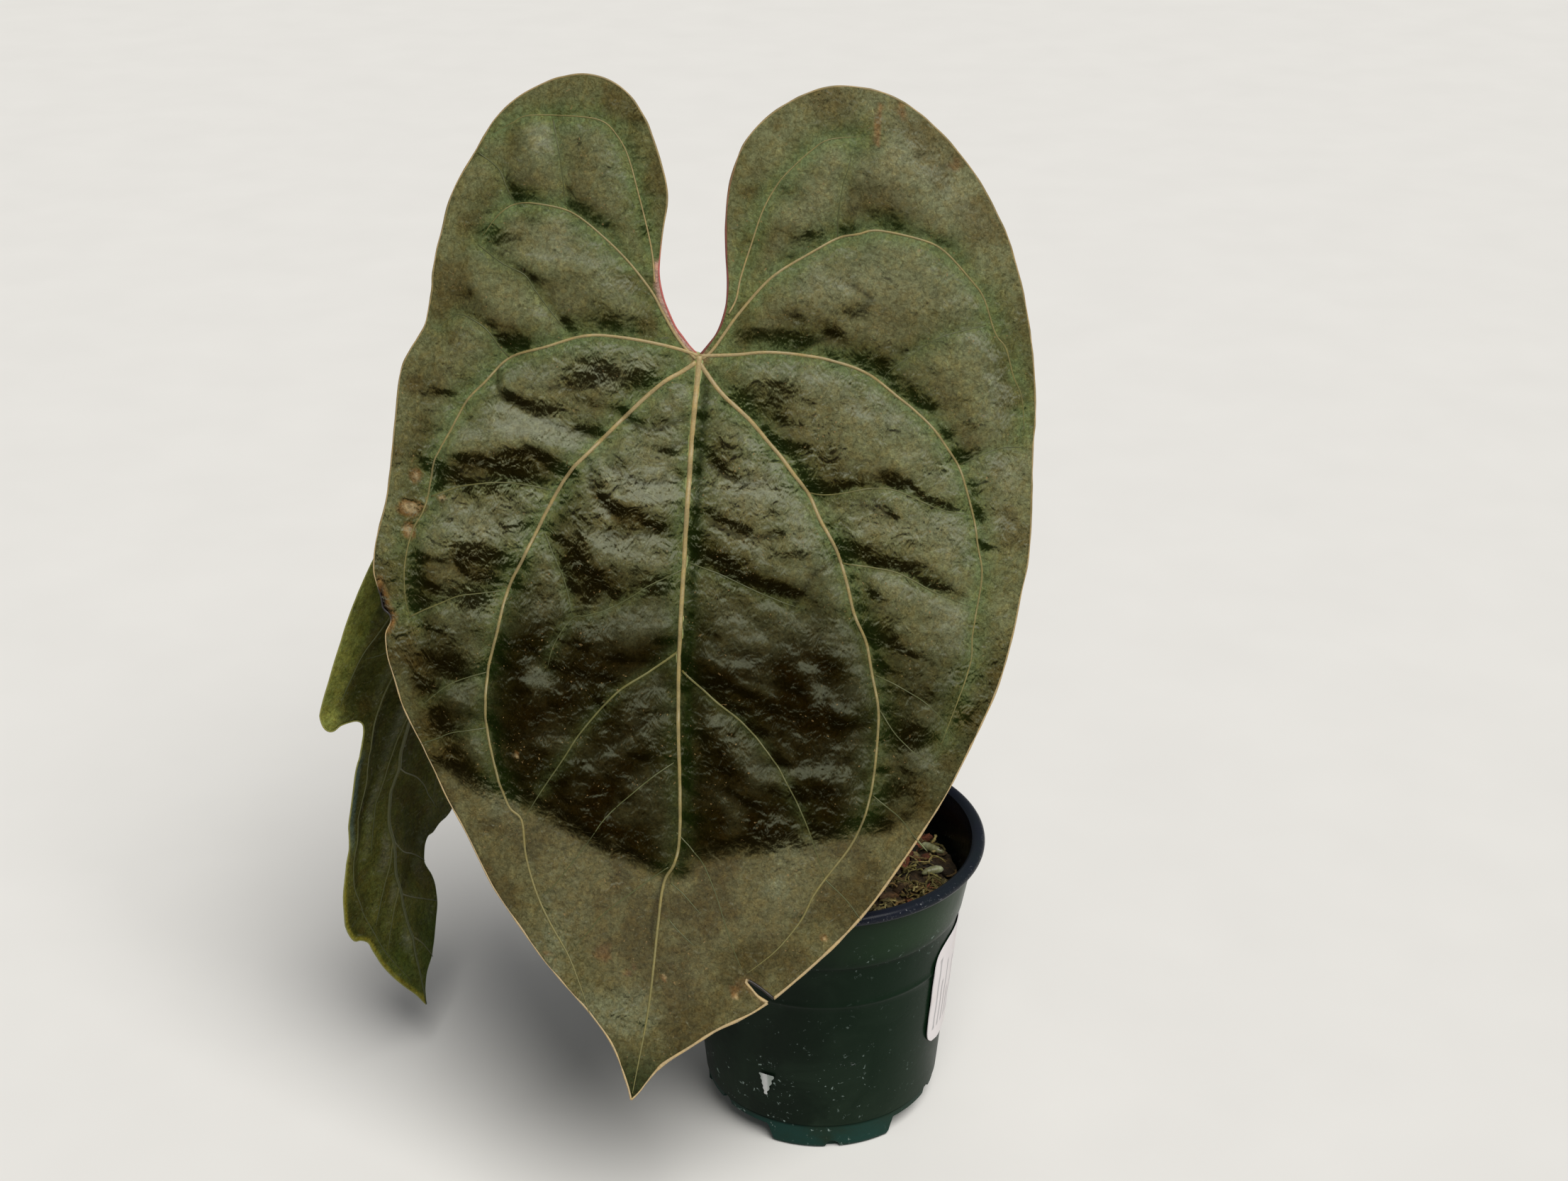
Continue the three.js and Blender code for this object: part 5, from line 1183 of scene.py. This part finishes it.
def build_mix():
    rng = np.random.default_rng(7)
    columns = 150
    a = np.arange(columns) * 2 * math.pi / columns
    loops = []
    for r in np.r_[0.6, np.linspace(1.5, MIX_RADIUS, 46)]:
        x, y = r * np.sin(a), -r * np.cos(a)
        z = mix_top(x, y) + 0.8 * np.sin(x * 1.3 + y * 0.7) * np.cos(y * 1.1) + rng.normal(0, 0.45, columns)
        loops.append(np.column_stack([x, y, z]))
    for r, z in ((MIX_RADIUS - 1, STEP_Z), (BASE_RADIUS - 2, FOOT_HEIGHT), (BASE_RADIUS - 3, 8.2)):
        loops.append(ring(a, r, z))
    verts, faces = rings(loops)
    faces = [f[::-1] for f in faces]
    shade = rng.uniform(0.5, 1.3, len(verts))[:, None]
    make("mix_bed", verts, faces, COMPOST, "mix", ["potting_mix"], np.array(srgb(66, 54, 36)) * shade)

    bits = Heap()
    tones = [(84, 64, 42), (60, 48, 32), (104, 86, 56), (42, 36, 24), (112, 102, 66), (122, 72, 50)]
    for _ in range(300):
        r, where = MIX_RADIUS * math.sqrt(rng.uniform(0.05, 0.97)) - 2, rng.uniform(0, 2 * math.pi)
        half = np.array([rng.uniform(1.6, 4.6), rng.uniform(1.1, 2.6), rng.uniform(0.5, 1.3)])
        verts, faces = chunk(COARSE, half, rng)
        spin = turn("z", rng.uniform(0, 360)) @ turn("x", rng.uniform(-40, 40)) @ turn("y", rng.uniform(-40, 40))
        x, y = r * math.sin(where), -r * math.cos(where)
        out, room = np.hypot(x, y), MIX_RADIUS - 0.4
        if half[0] > room - out:
            x, y = x * (room - half[0]) / out, y * (room - half[0]) / out
        bits.add(verts @ spin.T + [x, y, mix_top(x, y) + rng.uniform(-0.2, 1.2)], faces,
                 np.array(srgb(*tones[rng.integers(len(tones))])) * rng.uniform(0.6, 1.25))
    bits.make("mix_crumbs", BARK, "bark", sharp=40)

    for k, (long, wide, thick, deg) in enumerate(CHIPS, 1):
        centre, _ = middle("bark_chip_%d" % k)
        verts, faces = chunk(FINE, np.array([long, wide, thick]) / 2, rng, 7, 0.1)
        layers = 0.12 * np.sin(verts[:, 2] * 7 + 0.4 * verts[:, 0])
        verts = verts * (1 + layers[:, None] * [0.25, 0.35, 0])
        spin = turn("z", deg) @ turn("x", rng.uniform(-8, 8)) @ turn("y", rng.uniform(-8, 8))
        tone = np.array(srgb(128, 74, 50)) * (1 + 0.3 * np.sin(verts[:, 2] * 5))[:, None]
        make("bark_%d" % k, verts @ spin.T + centre, faces, BARK, "bark", ["bark_chip_%d" % k], tone, sharp=35)

    greens = [srgb(*c) for c in ((128, 120, 70), (104, 92, 52), (150, 138, 88), (92, 84, 44), (120, 98, 60))]
    for k in range(1, 7):
        centre, size = middle("moss_clump_%d" % k)
        tuft = Heap()
        for _ in range(46):
            start = rng.normal(0, 0.32, 3)
            start = start / max(1, np.linalg.norm(start) / 0.8)
            heading = rng.normal(0, 1, 3) * [1, 1, 0.5]
            heading /= np.linalg.norm(heading)
            path = [start * size / 2]
            for _ in range(5):
                heading = heading + rng.normal(0, 0.45, 3)
                heading /= np.linalg.norm(heading)
                path.append(path[-1] + heading * rng.uniform(0.7, 1.5))
            path = smooth_line(np.array(path), 0.6)
            half = size / 2 * [0.98, 0.98, 1.0]
            squeeze = np.maximum(1, np.linalg.norm(path / half, axis=1))
            path = path / squeeze[:, None]
            fat = rng.uniform(0.2, 0.45) * (0.5 + 0.5 * np.sin(np.linspace(0.4, 2.9, len(path))))
            fat = fat * (1 + 0.35 * np.sin(np.arange(len(path)) * 2.1))
            verts, faces = tube(path, fat, 5)
            tuft.add(verts + centre, faces, np.array(greens[rng.integers(5)]) * rng.uniform(0.6, 1.2))
        tuft.make("moss_%d" % k, MOSS, "moss", stands_for=["moss_clump_%d" % k])

    strands = Heap()
    for _ in range(430):
        r, where = MIX_RADIUS * math.sqrt(rng.uniform(0.03, 0.92)), rng.uniform(0, 2 * math.pi)
        p = np.array([r * math.sin(where), -r * math.cos(where)])
        heading, arch = rng.uniform(0, 2 * math.pi), rng.uniform(0.6, 4.6) * rng.uniform(0.4, 1)
        path, count = [], rng.integers(4, 10)
        for step in range(count):
            rise = 0.8 + arch * math.sin(math.pi * (step + 0.4) / count)
            path.append((p[0], p[1], mix_top(*p) + rise))
            heading += rng.normal(0, 0.6)
            p = p + rng.uniform(1.0, 1.9) * np.array([math.cos(heading), math.sin(heading)])
            far = np.hypot(*p)
            if far > MIX_RADIUS - 1.2:
                p = p * (MIX_RADIUS - 1.2) / far
        path = smooth_line(np.array(path), 0.7)
        knots = 1 + 0.4 * np.sin(np.arange(len(path)) * 2.3 + where)
        fat = rng.uniform(0.16, 0.5) * np.minimum(1, 0.3 + 3 * np.sin(np.linspace(0.1, 3.04, len(path)))) * knots
        verts, faces = tube(path, fat, 6)
        strands.add(verts, faces, np.array(greens[rng.integers(5)]) * rng.uniform(0.5, 1.25))
    strands.make("mix_strands", MOSS, "moss")

    for k, (long, deg) in enumerate(ROOT_TIPS, 1):
        centre, _ = middle("root_tip_%d" % k)
        half = long / 2 - 0.1
        path = smooth_line([(-half, 0, -0.3), (-long / 6, 0.3, 0), (long / 5, 0.2, 0.1), (half, -0.2, 0)], 0.3)
        share = np.linspace(0, 1, len(path))
        fat = 1.45 * np.sqrt(np.clip(1 - (2 * share - 1) ** 4, 0.02, 1)) * (0.55 + 0.45 * np.sin(share * 2.4 + 0.1))
        verts, faces = tube(path, fat * (1 + 0.04 * np.sin(share * 30)), 14)
        pale = smooth(0.5, 1, np.r_[np.repeat(share, 14), 0, 1])
        tint = paint((112, 112, 76), len(verts), [((160, 166, 132), pale)])
        make("root_%d" % k, verts @ turn("z", deg).T + centre, faces, ROOT, "root", ["root_tip_%d" % k], tint)


# ---- stem and stalks ------------------------------------------------------------------------------
STEM_RADIUS = 8
STEM_CROWN = 100.6  # height at which the stalks leave the stem


def build_stem():
    rng = np.random.default_rng(17)
    low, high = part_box("stem")
    base, top = low.z * 1000, high.z * 1000
    columns = 72
    a = np.arange(columns) * 2 * math.pi / columns
    loops, tints = [], []
    for z in np.r_[base, np.arange(base + 2, 80, 4), np.arange(80, top - 1.2, 0.4), np.linspace(top - 1.1, top, 6)]:
        scar = math.exp(-((((z - 85) % 6) - 3) ** 2) / 0.7)
        shrink = math.sqrt(max(0.04, 1 - max(0, (z - top + 2.6) / 2.7) ** 2))
        r = (STEM_RADIUS + 0.55 * scar + 0.3 * np.sin(5 * a + z * 0.4) + 0.2 * np.sin(11 * a - z)) * shrink
        loops.append(np.column_stack([r * np.cos(a), r * np.sin(a), np.full(columns, z)]))
        tone = np.array(srgb(88, 92, 50)) * (1 - scar * 0.6) + np.array(srgb(118, 96, 62)) * scar * 0.6
        tints.append(np.tile(tone, (columns, 1)))
    verts, faces = rings(loops)
    tint = np.vstack([*tints, tints[0][:1], tints[-1][:1]])
    make("stem_body", verts, faces, STEM, "stem_tissue", ["stem"], tint)
    sheaths = Heap()
    for k in range(5):
        where = math.radians(70 * k + 25)
        foot = np.array([7.4 * math.cos(where), 7.4 * math.sin(where), 84 + 1.9 * k])
        out = np.array([math.cos(where), math.sin(where), 0])
        rises = ((0, 0), (1.4, 6), (2.4, 12), (4, 17 - k))
        path = smooth_line([foot + out * away + [0, 0, rise] for away, rise in rises], 0.8)
        share = np.linspace(0, 1, len(path))
        across = np.tile(np.cross(out, [0, 0, 1]), (len(path), 1))
        fat = 3.4 * np.sqrt(np.clip(1 - share**1.5, 0.02, 1))
        verts, faces = tube(path, fat, 12, across, 0.12)
        sheaths.add(verts, faces, np.array(srgb(134, 104, 66)) * rng.uniform(0.7, 1.1))
    for k in range(5):
        where = math.radians(rng.uniform(0, 360))
        out = np.array([math.cos(where), math.sin(where), 0])
        foot = out * 7 + [0, 0, 86.5 + rng.uniform(0, 6)]
        end = out * rng.uniform(15, 22)
        path = smooth_line([foot, foot + out * 4 + [0, 0, -0.5], end + [0, 0, mix_top(end[0], end[1]) + 1.2]], 0.6)
        share = np.linspace(0, 1, len(path))
        verts, faces = tube(path, 1.25 * (1 - 0.25 * share) * (1 + 0.06 * np.sin(share * 24)), 12)
        sheaths.add(verts, faces, srgb(142, 134, 100))
    sheaths.make("stem_sheaths", ROOT, "root")


def build_stalks():
    crown = STEM_CROWN
    front_top = place_front(np.array(-1.0), np.array(8.0), -0.45 - 0.3 - 0.9 * 3.4)
    front_foot = front_top + np.array([0, 0.5, -0.87]) * 15
    rear_top = place_rear(np.array(0.0), np.array(6.0), 0.4 + 0.3 + 3.4)
    lean = np.array([8, -1, 8]) / np.linalg.norm([8, -1, 8])
    rear_foot = rear_top + lean * 12
    front_path = [(1.5, 1, crown - 3), (1.5, 1.2, crown + 14), (front_foot + [0, 24, crown]) / 2,
                  front_foot + [2, 5, -26], front_foot, (front_foot + front_top) / 2, front_top + [0, -1.6, 1.6]]
    rear_path = [(-4.2, 2.5, crown - 3), (-5, 3.2, crown + 10),
                 (0.26 * rear_foot[0], 10, crown + (rear_foot[2] - crown) * 0.66),
                 (0.62 * rear_foot[0], 12, crown + (rear_foot[2] - crown) * 1.03),
                 rear_foot + [14, 1, 4], rear_foot, (rear_foot + rear_top) / 2,
                 rear_top + (rear_top - rear_foot) * 0.16]
    for name, path, radius, knee, nodes in (
        ("front", front_path, 2.6, 3.4, ["front_petiole", "front_geniculum"]),
        ("rear", rear_path, 2.1, 2.72, ["rear_petiole", "rear_geniculum"]),
    ):
        line = smooth_line(np.array([np.array(p, float) for p in path]), 1.0)
        left = np.linalg.norm(line - line[-1], axis=1)
        foot = np.linalg.norm(line - line[0], axis=1)
        swell = smooth(19, 12, left) * smooth(-1, 3, left)
        fat = radius + (knee - radius) * swell + 0.9 * smooth(9, 0, foot) + 0.08 * np.sin(np.arange(len(line)) * 0.21)
        verts, faces = tube(line, fat, 20)
        share = np.r_[np.repeat(np.arange(len(line)), 20), 0, len(line) - 1]
        coats = [((112, 84, 58), smooth(40, 0, foot)[share] * 0.6), ((136, 132, 76), swell[share])]
        tint = paint((86, 100, 56), len(verts), coats)
        make(name + "_stalk", verts, faces, STALK, "stalk", nodes, tint)


# ---- staging ------------------------------------------------------------------------------------------
SKY_COLOUR, SKY_STRENGTH = (0.95, 0.97, 1, 1), 0.22
SUN_COLOUR, SUN_STRENGTH, SUN_WIDTH, SUN_TILT, SUN_TURN = (1, 0.99, 0.965), 3.5, 40, 32, 32
# The camera fitted to the photo: place in metres, tilt down and turn in degrees, focal length for a 36 mm sensor.
CAMERA_PLACE, CAMERA_DOWN, CAMERA_TURN, CAMERA_LENS = (0, -0.6468, 0.5043), 25.9, 1.15, 52.08


def staging():
    f = Finish("studio_floor", Specular_IOR_Level=0.2)
    f.put("Base Color", f.mix(f.noise(60, 2), srgb(214, 212, 208), srgb(220, 218, 214)))
    f.put("Roughness", 0.85)
    mesh = bpy.data.meshes.new("floor")
    mesh.from_pydata([(-6, -6, 0), (6, -6, 0), (6, 6, 0), (-6, 6, 0)], [], [(0, 1, 2, 3)])
    mesh.materials.append(f.material)
    floor = bpy.data.objects.new("floor", mesh)
    bpy.context.scene.collection.objects.link(floor)
    world = bpy.context.scene.world or bpy.data.worlds.new("world")
    bpy.context.scene.world = world
    world.use_nodes = True
    sky = world.node_tree.nodes["Background"]
    sky.inputs["Color"].default_value = SKY_COLOUR
    sky.inputs["Strength"].default_value = SKY_STRENGTH
    sun = bpy.data.lights.new("soft_sun", "SUN")
    sun.energy, sun.angle, sun.color = SUN_STRENGTH, math.radians(SUN_WIDTH), SUN_COLOUR
    lamp = bpy.data.objects.new("soft_sun", sun)
    bpy.context.scene.collection.objects.link(lamp)
    lamp.rotation_euler = (math.radians(SUN_TILT), 0, math.radians(SUN_TURN))
    camera = bpy.data.cameras.new("camera")
    camera.sensor_width, camera.lens = 36, CAMERA_LENS
    camera.clip_start, camera.clip_end = 0.01, 50
    view = bpy.data.objects.new("camera", camera)
    bpy.context.scene.collection.objects.link(view)
    view.location = CAMERA_PLACE
    view.rotation_euler = (math.radians(90 - CAMERA_DOWN), 0, math.radians(CAMERA_TURN))
    bpy.context.scene.camera = view
    bpy.context.scene.view_settings.view_transform = "Standard"


front_blade()
rear_blade()
build_pot()
build_stickers()
build_mix()
build_stem()
build_stalks()
staging()
